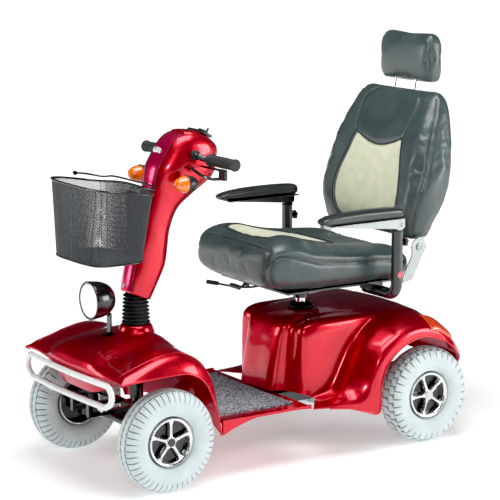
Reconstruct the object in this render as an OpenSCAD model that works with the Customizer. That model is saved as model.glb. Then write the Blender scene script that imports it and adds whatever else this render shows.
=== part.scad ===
// Four-wheel mobility scooter. +X is forward, +Y is the scooter's left, +Z is up.
// The origin lies on the ground, midway between the axles. All sizes are in millimetres.

/* [Wheels] */
// Tyre outer radius (13 inch tyre)
tyre_r = 165; // [160:1:168]
// Tyre width
tyre_w = 94; // [84:1:96]
// Radius of the tyre's inner edge, on the rim
bead_r = 78; // [76:1:80]
// Distance of each axle from the middle of the wheelbase
axle_x = 513; // [508:1:516]
// Distance of each wheel's middle plane from the centre line
wheel_y = 292.7; // [291:0.1:295]
// Number of spokes in a rim
spoke_count = 5; // [4:1:7]
// Radius of the stub axles at the front
stub_r = 8; // [6:0.5:9]
// Radius of the driven shafts at the rear
shaft_r = 9; // [7:0.5:10]

/* [Steering] */
// Steering axis, forward of the middle of the wheelbase
steer_x = 445; // [440:1:450]
// Height of the pivot that the tiller tilts on
tilt_z = 500; // [496:1:504]
// Distance of each kingpin from the centre line
kingpin_y = 225; // [222:1:226]
// Length of the steering arms
arm_len = 60; // [52:1:64]

/* [Body] */
// Wall thickness of the painted covers
wall = 4; // [3:0.5:5]
// Top of the deck plate
deck_z = 191; // [188:1:192]
// Half of the deck's width
deck_half = 300; // [290:1:302]

/* [Handlebar] */
// Handlebar position, forward of the middle of the wheelbase
bar_x = 238; // [234:1:242]
// Height of the handlebar
bar_z = 1007; // [1003:1:1010]
// Handlebar tube radius
bar_r = 11; // [9:0.5:12]
// Distance of the handlebar's ends from the centre line
bar_half = 270; // [262:1:276]

/* [Basket] */
// Half of the basket's width at the rim
basket_half = 197; // [194:1:200]
// Height of the basket's floor
basket_floor = 706; // [700:1:715]
// Height of the basket's rim
basket_rim = 950; // [930:1:955]

/* [Seat] */
// Seat post axis, behind the middle of the wheelbase
post_x = -208; // [-212:1:-204]
// Seat post radius
post_r = 19; // [16:0.5:20]
// Armrest post radius
arm_post_r = 11; // [9:0.5:12]
// Distance of the armrest tubes from the centre line
arm_y = 318; // [316:1:320]
// Recliner pivot, behind the middle of the wheelbase
recline_x = -507; // [-510:1:-504]
// Height of the recliner pivot
recline_z = 669; // [666:1:672]

/* [Hidden] */
run = 0.06;      // radial clearance of a running fit
axle_z = tyre_r;
rim_r = bead_r - 0.3;
hub_half = 24;
rod_z_left = 126;
rod_z_right = 115;
carrier_x = 668;
post_top = 528;
pan_z = 547;
arm_x = -372;
arm_pivot = [-385, 765];
knob_z = 706;
grip_r = 17;

$fn = 48;

// ---------- helpers: curves, lofts and sweeps ----------

// Catmull-Rom spline through four points
function spline(a, b, c, d, t) =
    0.5 * (2 * b + (c - a) * t + (2 * a - 5 * b + 4 * c - d) * t * t + (3 * b - a - 3 * c + d) * t * t * t);
// Point at parameter s, from 0 to one less than the number of points
function along(pts, s) =
    let(n = len(pts), i = min(floor(s), n - 2), t = s - i)
    spline(pts[max(i - 1, 0)], pts[i], pts[i + 1], pts[min(i + 2, n - 1)], t);
// The same curve as a list of equally spaced parameters
function smooth(pts, steps) = [for (k = [0:steps]) along(pts, k * (len(pts) - 1) / steps)];
// Signed power, for superellipses
function spow(v, n) = sign(v) * pow(abs(v), n);
// Superellipse with half sizes a and b
function squircle(a, b, n, count) =
    [for (k = [0:count - 1]) let(t = 360 * k / count) [a * spow(cos(t), 2 / n), b * spow(sin(t), 2 / n)]];
function unit(v) = v / norm(v);

// Closed solid through rings that turn anticlockwise about the way they advance, with flat ends
module loft(rings) {
    m = len(rings[0]);
    n = len(rings);
    far = floor(m / 2);
    points = [for (ring = rings) for (p = ring) p];
    sides = [for (i = [0:n - 2]) for (j = [0:m - 1])
        let(a = i * m + j, b = i * m + (j + 1) % m, c = b + m, d = a + m) each [[a, c, b], [a, d, c]]];
    first = [for (j = [0:m - 1]) (far + j) % m];
    last = [for (j = [m:-1:1]) (n - 1) * m + (far + j) % m];
    polyhedron(points, concat([first], sides, [last]), convexity = 8);
}

// Round tube swept along a path
module sweep(path, r, sides = 12) {
    n = len(path);
    rings = [for (i = [0:n - 1])
        let(d = unit(path[min(i + 1, n - 1)] - path[max(i - 1, 0)]),
            up = abs(d[1]) > 0.8 ? [0, 0, 1] : [0, 1, 0],
            side = unit(cross(up, d)),
            top = cross(d, side))
        [for (k = [0:sides - 1]) let(t = 360 * k / sides) path[i] + r * (cos(t) * side + sin(t) * top)]];
    loft(rings);
}

// Thin shell between a grid of points and the same grid moved inwards by a thickness
module skin(grid, t) {
    n = len(grid);
    m = len(grid[0]);
    inner = [for (i = [0:n - 1]) [for (j = [0:m - 1])
        let(du = grid[min(i + 1, n - 1)][j] - grid[max(i - 1, 0)][j],
            dv = grid[i][min(j + 1, m - 1)] - grid[i][max(j - 1, 0)])
        grid[i][j] + t * unit(cross(du, dv))]];
    points = concat([for (row = grid) for (p = row) p], [for (row = inner) for (p = row) p]);
    half = n * m;
    top = [for (i = [0:n - 2]) for (j = [0:m - 2])
        let(a = i * m + j, b = a + 1, c = a + m + 1, d = a + m) each [[a, c, b], [a, d, c]]];
    under = [for (f = top) [f[2] + half, f[1] + half, f[0] + half]];
    edge = concat(
        [for (j = [0:m - 2]) [j, j + 1]],
        [for (i = [0:n - 2]) [i * m + m - 1, (i + 1) * m + m - 1]],
        [for (j = [m - 2:-1:0]) [(n - 1) * m + j + 1, (n - 1) * m + j]],
        [for (i = [n - 2:-1:0]) [(i + 1) * m, i * m]]);
    rim = [for (e = edge) each [[e[0], e[1], e[1] + half], [e[0], e[1] + half, e[0] + half]]];
    polyhedron(points, concat(top, under, rim), convexity = 12);
}

// Smooth grid from the control rows of one half, mirrored over the centre line
function mirrored(row) = concat(
    [for (i = [len(row) - 1:-1:1]) [row[i][0], -row[i][1], row[i][2]]], row);
function smooth_grid(rows, steps_u, steps_v) =
    let(across = [for (row = rows) smooth(mirrored(row), steps_v)])
    [for (k = [0:steps_u])
        [for (j = [0:steps_v])
            along([for (row = across) row[j]], k * (len(rows) - 1) / steps_u)]];

module both_sides() {
    children();
    mirror([0, 1, 0]) children();
}

module at_wheel(x, side) {
    translate([x, side * wheel_y, axle_z]) rotate([side > 0 ? -90 : 90, 0, 0]) children();
}

// Cylinder along Y between two places
module y_cyl(x, z, y0, y1, r) {
    translate([x, y0, z]) rotate([-90, 0, 0]) cylinder(h = y1 - y0, r = r);
}

module rod(a, b, r) {
    d = b - a;
    translate(a) rotate([0, acos(d[2] / norm(d)), atan2(d[1], d[0])]) cylinder(h = norm(d), r = r);
}

// ---------- wheels: made with the outer face towards +Z ----------

module tyre() {
    mid = (tyre_r + bead_r) / 2;
    half_h = (tyre_r - bead_r) / 2;
    color([0.78, 0.86, 0.87])
        rotate_extrude($fn = 96)
            polygon([for (p = squircle(half_h, tyre_w / 2, 2.5, 40)) [mid + p[0], p[1]]]);
}

module rim(bore_r) {
    face = 34;
    pocket = 16;
    color("silver") {
        rotate_extrude($fn = 96)
            polygon([[rim_r - 7, -face], [rim_r, -face], [rim_r, face], [rim_r - 4, face], [rim_r - 7, face - 4]]);
        difference() {
            union() {
                translate([0, 0, pocket - 4]) cylinder(h = 4, r = rim_r - 6.5);
                translate([0, 0, -hub_half]) cylinder(h = 2 * hub_half + 4, r = 19);
                for (k = [0:spoke_count - 1])
                    rotate([0, 0, k * 360 / spoke_count]) spoke(pocket, face - 3);
            }
            translate([0, 0, -hub_half - 1]) cylinder(h = 2 * hub_half + 6, r = bore_r);
        }
    }
}

module spoke(z0, z1) {
    root = 6;
    tip = 8;
    translate([0, 0, z0])
        linear_extrude(z1 - z0)
            polygon([[17, -root], [rim_r - 6.5, -tip], [rim_r - 6.5, tip], [17, root]]);
}

// Driven shaft from the transaxle to the hub, with its flange and nut
module shaft_rear() {
    color("dimgray") {
        y_cyl(-axle_x, axle_z, 30, wheel_y + hub_half + 12, shaft_r);
        y_cyl(-axle_x, axle_z, wheel_y - hub_half - 8, wheel_y - hub_half - 0.1, 20);
        y_cyl(-axle_x, axle_z, wheel_y + hub_half + 4.1, wheel_y + hub_half + 11, 14);
    }
}

// ---------- steering ----------

module steering_stem() {
    arm_end = steer_x - arm_len;
    color("dimgray") {
        translate([steer_x, 0, 138]) cylinder(h = tilt_z - 20 - 138, r = 12);
        translate([0, 0, 132]) linear_extrude(7) {
            translate([steer_x, 0]) circle(r = 17);
            translate([arm_end, 0]) circle(r = 11);
            translate([arm_end, -9]) square([arm_len, 18]);
        }
        translate([arm_end, 0, 108]) cylinder(h = 26, r = 5);
        difference() {
            union() {
                translate([steer_x - 14, -16, tilt_z - 24]) cube([28, 32, 26]);
                y_cyl(steer_x, tilt_z, -16, 16, 14);
            }
            translate([steer_x - 16, -8, tilt_z - 18]) cube([32, 16, 40]);
        }
        y_cyl(steer_x, tilt_z, -18, 18, 5);
    }
}

// Ribbed rubber boot between the collar of the hood and the tiller
module steering_boot() {
    rings = 7;
    z0 = 479;
    z1 = 574;
    pitch = (z1 - z0) / rings;
    function boot_r(z) = 43 - 5.5 * (z - z0) / (z1 - z0);
    outer = [for (k = [0:rings - 1]) each [
        [boot_r(z0 + k * pitch) - 3, z0 + k * pitch + 0.6],
        [boot_r(z0 + k * pitch) + 1.5, z0 + (k + 0.35) * pitch],
        [boot_r(z0 + k * pitch) + 1.5, z0 + (k + 0.65) * pitch]]];
    color([0.1, 0.1, 0.1]) translate([steer_x, 0, 0])
        rotate_extrude()
            polygon(concat(outer, [[35.5, z1], [32.5, z1], [32.5, z0 + 0.6]]));
}

module knuckle() {
    ear = 15;
    plate_y = kingpin_y + 19;
    color([0.16, 0.16, 0.17]) {
        for (z = [131.5, 191])
            translate([0, 0, z]) linear_extrude(7.5) union() {
                translate([axle_x, kingpin_y]) circle(r = ear);
                translate([axle_x - ear, kingpin_y]) square([2 * ear, 19]);
            }
        translate([axle_x, kingpin_y, 133]) cylinder(h = 64, r = 8);
        translate([axle_x - ear, plate_y, 131.5]) cube([2 * ear, 7, 67]);
        y_cyl(axle_x, axle_z, plate_y + 1, wheel_y + hub_half + 12, stub_r);
        y_cyl(axle_x, axle_z, wheel_y + hub_half + 5, wheel_y + hub_half + 11, 13);
        translate([0, 0, 131.5]) linear_extrude(7.5) union() {
            translate([axle_x - arm_len, kingpin_y]) circle(r = 10);
            translate([axle_x - arm_len, kingpin_y - 8]) square([arm_len, 16]);
        }
        translate([axle_x - arm_len, kingpin_y, 107]) cylinder(h = 26, r = 5);
    }
}

module tie_rod(side, z) {
    a = [steer_x - arm_len, 0, z];
    b = [axle_x - arm_len, side * kingpin_y, z];
    along_rod = unit(b - a);
    color("gray") {
        for (e = [a, b])
            translate(e - [0, 0, 4]) difference() {
                cylinder(h = 8, r = 10);
                translate([0, 0, -1]) cylinder(h = 10, r = e == a ? 5 + run : 5.6);
            }
        rod(a + 9 * along_rod, b - 9 * along_rod, 3.6);
    }
}

// ---------- chassis ----------

module main_frame() {
    rail_y = 65;
    rail_w = 28;
    rail_h = 37;
    rail_z = 145;
    head_r = 22;
    color([0.12, 0.12, 0.13]) difference() {
        union() {
            for (side = [-1, 1])
                translate([-430, side * rail_y - rail_w / 2, rail_z]) cube([918, rail_w, rail_h]);
            for (x = [-430, -120, 60, 280, 460])
                translate([x, -rail_y, rail_z + 4]) cube([28, 2 * rail_y, rail_h - 8]);
            translate([steer_x, 0, rail_z]) cylinder(h = 285, r = head_r);
            translate([steer_x - 10, -rail_y, rail_z + 4]) cube([20, 2 * rail_y, 60]);
            // seat tower
            for (side = [-1, 1])
                translate([post_x - 30, side * 62 - 8, rail_z + rail_h - 1]) cube([60, 16, 235]);
            translate([post_x - 30, -70, 400]) cube([60, 140, 24]);
            translate([post_x, 0, 250]) cylinder(h = 178, r = 26);
            // carriers of the covers and of the bumper
            translate([460, -195, 205]) cube([24, 390, 10]);
            translate([460, -40, 180]) cube([24, 80, 30]);
            for (side = [-1, 1]) {
                translate([470, side * 52 - 8, 205]) cube([184, 16, 16]);
                translate([644, side * 52 - 8, 205]) cube([14, 16, 62]);
                translate([-560, side * 52 - 9, 290]) cube([360, 18, 14]);
                translate([-445, side * 52 - 9, rail_z]) cube([26, 18, 150]);
            }
            translate([carrier_x - 14, -172, 254]) cube([14, 344, 14]);
            // front axle beam with its kingpin bosses
            y_cyl(axle_x, axle_z, -kingpin_y + 12, kingpin_y - 12, 13);
            for (side = [-1, 1])
                translate([axle_x, side * kingpin_y, 139.5]) cylinder(h = 51, r = 16);
            translate([486, -60, 152]) cube([24, 120, 26]);
        }
        translate([steer_x, 0, 100]) cylinder(h = 400, r = 12 + run);
        translate([post_x, 0, 254]) cylinder(h = 200, r = post_r + run);
        for (side = [-1, 1])
            translate([axle_x, side * kingpin_y, 130]) cylinder(h = 70, r = 8 + run);
    }
}

// Each row runs outwards from the centre line: hood, hood edge, valley, fender top, shoulder, lip.
cowl_rows = [
    [[668, 0, 298], [664, 100, 300], [652, 160, 320], [652, 225, 346], [664, 284, 358], [672, 304, 361]],
    [[684, 0, 332], [680, 108, 334], [664, 168, 344], [664, 232, 356], [676, 288, 364], [680, 307, 364]],
    [[692, 0, 352], [691, 112, 357], [682, 172, 361], [678, 236, 366], [682, 290, 369], [683, 311, 366]],
    [[692, 0, 378], [689, 113, 385], [680, 172, 377], [676, 238, 376], [678, 291, 376], [679, 314, 368]],
    [[678, 0, 403], [675, 108, 406], [660, 170, 396], [655, 238, 393], [655, 291, 390], [655, 317, 371]],
    [[636, 0, 429], [634, 100, 427], [623, 165, 411], [615, 236, 409], [612, 291, 402], [612, 319, 374]],
    [[585, 0, 445], [580, 95, 440], [574, 160, 423], [567, 234, 426], [562, 291, 415], [560, 320, 376]],
    [[530, 0, 454], [525, 85, 448], [519, 155, 434], [510, 232, 438], [505, 291, 425], [500, 320, 378]],
    [[488, 0, 460], [475, 80, 455], [466, 150, 442], [455, 230, 440], [450, 291, 425], [450, 320, 376]],
    [[445, 0, 461], [430, 80, 455], [420, 150, 438], [410, 230, 424], [404, 291, 408], [410, 320, 360]],
    [[405, 0, 446], [395, 80, 438], [384, 150, 416], [370, 230, 396], [364, 291, 374], [381, 320, 334]],
    [[372, 0, 398], [366, 80, 388], [355, 150, 362], [342, 230, 342], [338, 291, 322], [357, 318, 290]],
    [[344, 0, 318], [341, 80, 306], [334, 150, 286], [325, 230, 270], [322, 290, 255], [338, 314, 240]],
    [[319, 0, 232], [317, 80, 226], [314, 150, 216], [310, 230, 204], [311, 288, 196], [323, 308, 190]],
    [[307, 0, 196], [307, 80, 194], [306, 150, 190], [305, 230, 178], [306, 284, 156], [312, 303, 150]]];

module front_cowl() {
    color([0.66, 0.02, 0.09]) {
        difference() {
            skin(smooth_grid(cowl_rows, 34, 30), wall);
            translate([steer_x, 0, 400]) cylinder(h = 100, r = 28);
        }
        translate([steer_x, 0, 452]) rotate_extrude()
            polygon([[40, 0], [58, 0], [52, 17], [48, 23], [40, 23]]);
    }
}

module floor_deck() {
    front = 304;
    back = -42;
    edge = 9;
    color([0.6, 0.03, 0.08]) {
        translate([back, -deck_half + edge, deck_z - 6]) cube([front - back, 2 * (deck_half - edge), 6]);
        both_sides()
            translate([0, deck_half, 0]) rotate([90, 0, 0]) linear_extrude(edge)
                polygon(concat(
                    [[back, deck_z + 5], [back, 183]],
                    smooth([[45, 191], [155, 190], [240, 172], [front - 4, 149]], 12),
                    [[front, 149], [front, deck_z + 5]]));
    }
}

// Rubber mat with a raised border
module floor_mat() {
    front = 292;
    back = -12;
    half = 235;
    color([0.35, 0.36, 0.37]) {
        translate([back, -half, deck_z + 0.05]) cube([front - back, 2 * half, 3.5]);
        for (side = [-1, 1])
            translate([back, side * (half - 6) - 6, deck_z + 1]) cube([front - back, 12, 5.5]);
    }
}

// Each row runs outwards: panel centre, its edge, flank, box corner, crease, fender, shoulder, lip.
rear_rows = [
    [[-18, 0, 201], [-20, 85, 201], [-62, 112, 201], [-84, 178, 200],
     [-122, 203, 186], [-78, 262, 186], [-52, 296, 185], [-47, 302, 182]],
    [[-28, 0, 270], [-30, 85, 270], [-70, 112, 270], [-86, 180, 262],
     [-146, 204, 195], [-130, 264, 189], [-114, 304, 185], [-110, 310, 176]],
    [[-42, 0, 350], [-44, 85, 350], [-78, 112, 350], [-88, 182, 345],
     [-170, 204, 212], [-172, 266, 200], [-178, 312, 187], [-186, 318, 166]],
    [[-60, 0, 418], [-62, 88, 416], [-88, 116, 412], [-96, 184, 405],
     [-192, 204, 242], [-206, 268, 228], [-226, 320, 194], [-240, 326, 150]],
    [[-100, 0, 444], [-104, 90, 441], [-128, 120, 437], [-140, 188, 428],
     [-222, 204, 296], [-236, 268, 272], [-257, 325, 220], [-296, 333, 140]],
    [[-180, 0, 452], [-184, 92, 449], [-200, 125, 446], [-210, 190, 434],
     [-264, 205, 356], [-262, 268, 322], [-272, 327, 264], [-300, 338, 228]],
    [[-280, 0, 453], [-282, 95, 450], [-286, 130, 447], [-292, 191, 437],
     [-310, 207, 397], [-294, 270, 364], [-289, 328, 312], [-318, 338, 287]],
    [[-355, 0, 453], [-356, 95, 450], [-358, 132, 448], [-360, 192, 441],
     [-362, 214, 428], [-345, 271, 400], [-326, 328, 357], [-352, 338, 327]],
    [[-425, 0, 452], [-425, 95, 450], [-425, 133, 448], [-424, 193, 443],
     [-422, 218, 437], [-405, 272, 424], [-386, 328, 393], [-402, 338, 359]],
    [[-490, 0, 451], [-490, 95, 449], [-489, 133, 447], [-487, 193, 444],
     [-484, 219, 440], [-475, 272, 432], [-465, 328, 409], [-473, 338, 377]],
    [[-545, 0, 445], [-545, 95, 443], [-544, 133, 441], [-542, 193, 438],
     [-540, 218, 434], [-540, 271, 421], [-540, 327, 395], [-537, 338, 364]],
    [[-592, 0, 414], [-592, 95, 412], [-591, 132, 410], [-589, 192, 407],
     [-588, 216, 403], [-592, 267, 388], [-597, 322, 360], [-588, 338, 338]],
    [[-637, 0, 374], [-637, 94, 372], [-636, 131, 370], [-634, 190, 367],
     [-633, 213, 363], [-636, 260, 350], [-636, 311, 326], [-624, 330, 308]],
    [[-676, 0, 334], [-676, 93, 332], [-675, 128, 330], [-674, 186, 327],
     [-673, 208, 323], [-672, 250, 313], [-667, 292, 299], [-654, 306, 290]],
    [[-706, 0, 294], [-706, 92, 293], [-705, 126, 292], [-704, 182, 290],
     [-703, 203, 288], [-700, 240, 284], [-692, 270, 279], [-680, 282, 274]],
    [[-720, 0, 265], [-720, 92, 265], [-719, 125, 264], [-717, 180, 263],
     [-715, 200, 262], [-711, 230, 260], [-702, 254, 258], [-692, 264, 256]],
    [[-712, 0, 238], [-712, 92, 238], [-711, 125, 238], [-709, 180, 238],
     [-707, 198, 237], [-703, 226, 236], [-697, 244, 236], [-692, 252, 236]]];

module rear_body() {
    color([0.66, 0.02, 0.09]) difference() {
        skin(smooth_grid(rear_rows, 34, 36), wall);
        translate([post_x, 0, 400]) cylinder(h = 100, r = 32);
    }
}

// Bent tube loop in front of the nose, with two stays
module bumper_bar() {
    tube_r = 10;
    top = 357;
    bottom = 286;
    front = 720 - tube_r;
    half = 276;
    corner = 30;
    function bow(y) = front - 14 * pow(y / half, 2);
    function loop_point(y, z) = [bow(y), y, z];
    function turn(cy, cz, from) = [for (k = [0:5]) let(t = from + 18 * k)
        loop_point(cy + corner * cos(t), cz + corner * sin(t))];
    run_y = half - corner;
    loop = concat(
        [for (k = [-4:4]) loop_point(k * run_y / 5, top)],
        [for (p = turn(run_y, top - corner, 90)) [p[0], 2 * run_y - p[1], p[2]]],
        [for (k = [5:-1:0]) let(t = -90 + 18 * k) loop_point(run_y + corner * cos(t), bottom + corner + corner * sin(t))],
        [for (k = [4:-1:-4]) loop_point(k * run_y / 5, bottom)],
        [for (p = turn(-run_y, bottom + corner, -90)) [p[0], -2 * run_y - p[1], p[2]]],
        [for (k = [5:-1:0]) let(t = 90 + 18 * k) loop_point(-run_y + corner * cos(t), top - corner + corner * sin(t))]);
    color([0.88, 0.89, 0.88]) {
        closed_tube(loop, tube_r);
        both_sides() {
            rod([carrier_x + 0.1, 162, 261], [carrier_x + 8, 162, 261], 6.5);
            rod([carrier_x + 6, 162, 261], [bow(190) - 4, 190, bottom], 6.5);
        }
    }
}

// Round tube around a closed path
module closed_tube(path, r, sides = 12) {
    n = len(path);
    points = [for (i = [0:n - 1])
        let(d = unit(path[(i + 1) % n] - path[(i + n - 1) % n]),
            side = [1, 0, 0],
            top = unit(cross(d, side)))
        for (k = [0:sides - 1]) let(t = 360 * k / sides) path[i] + r * (cos(t) * side + sin(t) * top)];
    polyhedron(points, [for (i = [0:n - 1]) for (k = [0:sides - 1])
        let(a = i * sides + k, b = i * sides + (k + 1) % sides,
            c = ((i + 1) % n) * sides + (k + 1) % sides, d = ((i + 1) % n) * sides + k)
        each [[a, c, b], [a, d, c]]], convexity = 6);
}

lamp = [617, 0, 571];
module headlight_housing() {
    length = 84;
    color([0.07, 0.07, 0.08]) {
        translate(lamp) rotate([0, -90, 0]) difference() {
            rotate_extrude($fn = 64) polygon(concat(
                [[0, 0], [59, 0]],
                [for (k = [0:10]) let(t = 9 * k) [61 * pow(cos(t), 0.62), 6 + (length - 6) * sin(t)]]));
            translate([0, 0, -1]) cylinder(h = 21, r = 56);
        }
        // stalk and the foot on the hood
        translate([549, 0, 451.4]) rotate([0, 9.3, 0]) translate([-17, -14, 0]) cube([34, 28, 5]);
        translate([541, -11, 453]) cube([6, 22, 70]);
        rod([544, 0, 516], [572, 0, 548], 7);
    }
}

module headlight_lens() {
    color([0.93, 0.94, 0.95]) translate(lamp) rotate([0, 90, 0]) translate([0, 0, -14])
        rotate_extrude($fn = 64) polygon(concat(
            [[0, 0], [55.7, 0]],
            [for (k = [0:8]) let(t = 11.25 * k) [55.7 * cos(t), 14 + 7 * sin(t)]]));
}

// Orange lamps that wrap the rear corners of the body
module tail_lamps() {
    color([0.95, 0.35, 0.12]) both_sides() translate([-540, 252, 433]) rotate([-14, -22, 4]) {
        linear_extrude(16) square([74, 30], center = true);
        translate([0, 0, 16]) linear_extrude(9, scale = 0.6) square([74, 30], center = true);
    }
}

module post_grommet() {
    color([0.08, 0.08, 0.08]) translate([post_x, 0, 0]) rotate_extrude()
        polygon([[post_r + 1, 453.5], [44, 453.5], [40, 462], [28, 470], [post_r + 1, 470]]);
}

module battery_pack() {
    color([0.15, 0.15, 0.16]) {
        for (x = [-395, -160])
            translate([x, -49, 185]) cube([x < -300 ? 150 : 105, 98, 62]);
    }
}

module transaxle() {
    color([0.35, 0.36, 0.37]) difference() {
        union() {
            y_cyl(-axle_x, axle_z, -75, 75, 38);
            y_cyl(-axle_x, axle_z, -190, 190, 17);
            translate([-axle_x - 14, -16, axle_z + 20]) cube([28, 32, 108]);
            translate([-axle_x - 20, -45, 276]) cube([40, 90, 14]);
            translate([-axle_x, 0, axle_z]) rotate([0, -90, 0]) cylinder(h = 150, r = 36);
        }
        y_cyl(-axle_x, axle_z, -200, -29, shaft_r + run);
        y_cyl(-axle_x, axle_z, 29, 200, shaft_r + run);
    }
}

// ---------- tiller ----------

// Rear point, front point and half width of the tiller cover, from the bottom up
tiller_rows = [
    [[401, 555], [490, 589], 47], [[372, 610], [481, 636], 51], [[346, 664], [468, 690], 53],
    [[337, 720], [453, 750], 54], [[328, 778], [436, 815], 54], [[299, 843], [417, 872], 58],
    [[243, 888], [404, 917], 66], [[190, 922], [396, 955], 75], [[161, 952], [387, 986], 80],
    [[151, 1000], [366, 1020], 80], [[151, 1034], [343, 1054], 77], [[180, 1064], [318, 1076], 68],
    [[212, 1082], [292, 1088], 52]];
tiller_steps = 26;
panel_t = 9;

// Ring of the cover at a place along the tiller, cut flat where the front panel lies
function cover_ring(s, inset, count = 30) =
    let(rear = along([for (q = tiller_rows) q[0]], s), front = along([for (q = tiller_rows) q[1]], s),
        w = along([for (q = tiller_rows) q[2]], s),
        mid = (rear + front) / 2, d = norm(front - rear) / 2, dir = unit(front - rear))
    [for (p = squircle(d - inset, w - inset, 2.6, count))
        let(e = min(p[0], d - panel_t - inset)) [mid[0] + e * dir[0], p[1], mid[1] + e * dir[1]]];

// Ring of the front panel: the part of the section ahead of the cut
function panel_ring(s, arc = 12, chord = 4) =
    let(rear = along([for (q = tiller_rows) q[0]], s), front = along([for (q = tiller_rows) q[1]], s),
        w = along([for (q = tiller_rows) q[2]], s),
        mid = (rear + front) / 2, d = norm(front - rear) / 2, dir = unit(front - rear),
        cut = d - panel_t + 0.5,
        edge = acos(pow(cut / d, 1.3)),
        round_part = [for (k = [0:arc]) let(t = edge * (2 * k / arc - 1))
            [d * spow(cos(t), 2 / 2.6), w * spow(sin(t), 2 / 2.6)]],
        half = w * spow(sin(edge), 2 / 2.6),
        flat_part = [for (k = [1:chord - 1]) [cut, half * (1 - 2 * k / chord)]])
    [for (p = concat(round_part, flat_part)) [mid[0] + p[0] * dir[0], p[1], mid[1] + p[0] * dir[1]]];

module tiller_cover() {
    span = len(tiller_rows) - 1;
    outer = [for (k = [0:tiller_steps]) cover_ring(span * k / tiller_steps, 0)];
    inner = [for (k = [tiller_steps - 2:-1:0]) cover_ring(span * k / tiller_steps, wall)];
    color([0.8, 0.02, 0.05]) difference() {
        loft(concat(inner, outer));
        for (side = [-1, 1]) {
            y_cyl(bar_x + 34, bar_z + 14, side * 70 - 30, side * 70 + 30, bar_r + 3);
            y_cyl(paddle_x, paddle_z, side * 70 - 30, side * 70 + 30, 5);
            y_cyl(322, 940, side * 70 - 30, side * 70 + 30, 7.3);
        }
        on_dash() translate([0, 0, -9.4]) linear_extrude(40) dash_outline(0.4);
    }
}

module tiller_front_panel() {
    span = len(tiller_rows) - 1;
    color([0.85, 0.05, 0.25])
        loft([for (k = [0:tiller_steps]) panel_ring(span * k / tiller_steps)]);
}

// Steel tube inside the cover, with the tongue that it tilts on
module tiller_column() {
    foot = [steer_x - 5, 0, tilt_z + 30];
    head = [318, 0, 1000];
    color("dimgray") {
        difference() {
            union() {
                y_cyl(steer_x, tilt_z, -7.5, 7.5, 13);
                translate([steer_x - 16, -7.5, tilt_z]) cube([24, 15, 36]);
            }
            y_cyl(steer_x, tilt_z, -10, 10, 5 + run);
        }
        rod(foot, head, 15);
        y_cyl(bar_x + 34, bar_z + 14, -30, 30, 20);
        rod([300, 0, 1000], [bar_x + 40, 0, bar_z + 14], 12);
    }
}

// Black control panel on the sloping top that faces the rider
module dash_panel() {
    color([0.1, 0.1, 0.11]) difference() {
        on_dash() translate([0, 0, -9]) linear_extrude(12) dash_outline(0);
        on_dash() for (y = [30, 0, -30])
            translate([-6, y, -3]) cylinder(h = 10, r = 6 + run);
    }
}

// Rounded outline of the dash, grown by a margin
module dash_outline(margin) {
    half_x = 20;
    half_y = 36;
    r = 8;
    for (x = [-1, 1]) for (y = [-1, 1]) translate([x * half_x, y * half_y]) circle(r = r + margin);
    square([2 * (half_x + r + margin), 2 * half_y], center = true);
    square([2 * half_x, 2 * (half_y + r + margin)], center = true);
}

// Frame of the dash: its face is the XY plane and +X points towards the front
module on_dash() {
    translate([198, 0, 1079]) rotate([0, -27, 0]) children();
}

module key_switch() {
    color("silver") on_dash() translate([-6, 30, -2.8]) {
        cylinder(h = 9, r = 6);
        translate([-1.2, -7, 8]) cube([2.4, 14, 16]);
    }
}

module speed_dial() {
    color([0.75, 0.1, 0.12]) on_dash() translate([-6, 0, -2.8]) {
        cylinder(h = 7, r = 6);
        translate([0, 0, 6.4]) cylinder(h = 9, r = 13);
        translate([0, -1.5, 15]) cube([12, 3, 1.5]);
    }
}

module horn_button() {
    color([0.85, 0.7, 0.1]) on_dash() translate([-6, -30, -0.2]) {
        cylinder(h = 7, r = 6);
        translate([0, 0, 5.8]) cylinder(h = 3, r = 8.5);
    }
}

module handlebar() {
    bend = [[bar_x + 34, 0, bar_z + 14], [bar_x + 34, 84, bar_z + 14], [bar_x + 26, 98, bar_z + 10],
        [bar_x + 10, 112, bar_z + 3], [bar_x, 124, bar_z]];
    color([0.12, 0.12, 0.13]) {
        both_sides() {
            sweep(concat([[bar_x + 34, 31, bar_z + 14]], smooth([for (k = [1:4]) bend[k]], 9)), bar_r);
            y_cyl(bar_x, bar_z, 123.5, bar_half, bar_r);
            y_cyl(bar_x + 34, bar_z + 14, 84, 94, bar_r + 6);
        }
    }
}

module grips() {
    color([0.1, 0.11, 0.11]) both_sides() difference() {
        translate([bar_x, 0, bar_z]) rotate([-90, 0, 0]) rotate_extrude() polygon([
            [bar_r + run, 128], [grip_r + 3, 128], [grip_r + 3, 134], [grip_r, 138], [grip_r - 1, 200],
            [grip_r, 262], [grip_r + 3, 268], [grip_r + 2, 275], [0, 275], [0, bar_half + 0.3],
            [bar_r + run, bar_half + 0.3]]);
    }
}

// Thumb paddle under each grip, joined by one shaft through the head
paddle_x = bar_x - 4;
paddle_z = bar_z - 27;
module throttle_lever() {
    color([0.08, 0.08, 0.09]) {
        y_cyl(paddle_x, paddle_z, -215, 215, 4);
        both_sides() translate([paddle_x - 5, 178, paddle_z - 30]) cube([11, 34, 34]);
    }
}

module brake_lever() {
    path = smooth([[292, 106, 981], [284, 112, 972], [262, 126, 955], [240, 146, 948], [222, 168, 950]], 16);
    color([0.09, 0.1, 0.1]) {
        translate([285, 98, 981]) rotate([0, 90, 0]) cylinder(h = 14, r = 6);
        sweep(path, 5, 10);
    }
}

module indicator_stems() {
    color([0.16, 0.17, 0.17]) both_sides() {
        y_cyl(322, 940, 56, 104, 7);
        y_cyl(322, 940, 54, 62, 11);
        translate([338, 143, 940]) rotate([0, -90, 0]) rotate_extrude()
            polygon([[0, 0], [27, 0], [24, 22], [12, 38], [0, 42]]);
        rod([322, 100, 940], [322, 130, 940], 7);
    }
}

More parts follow.
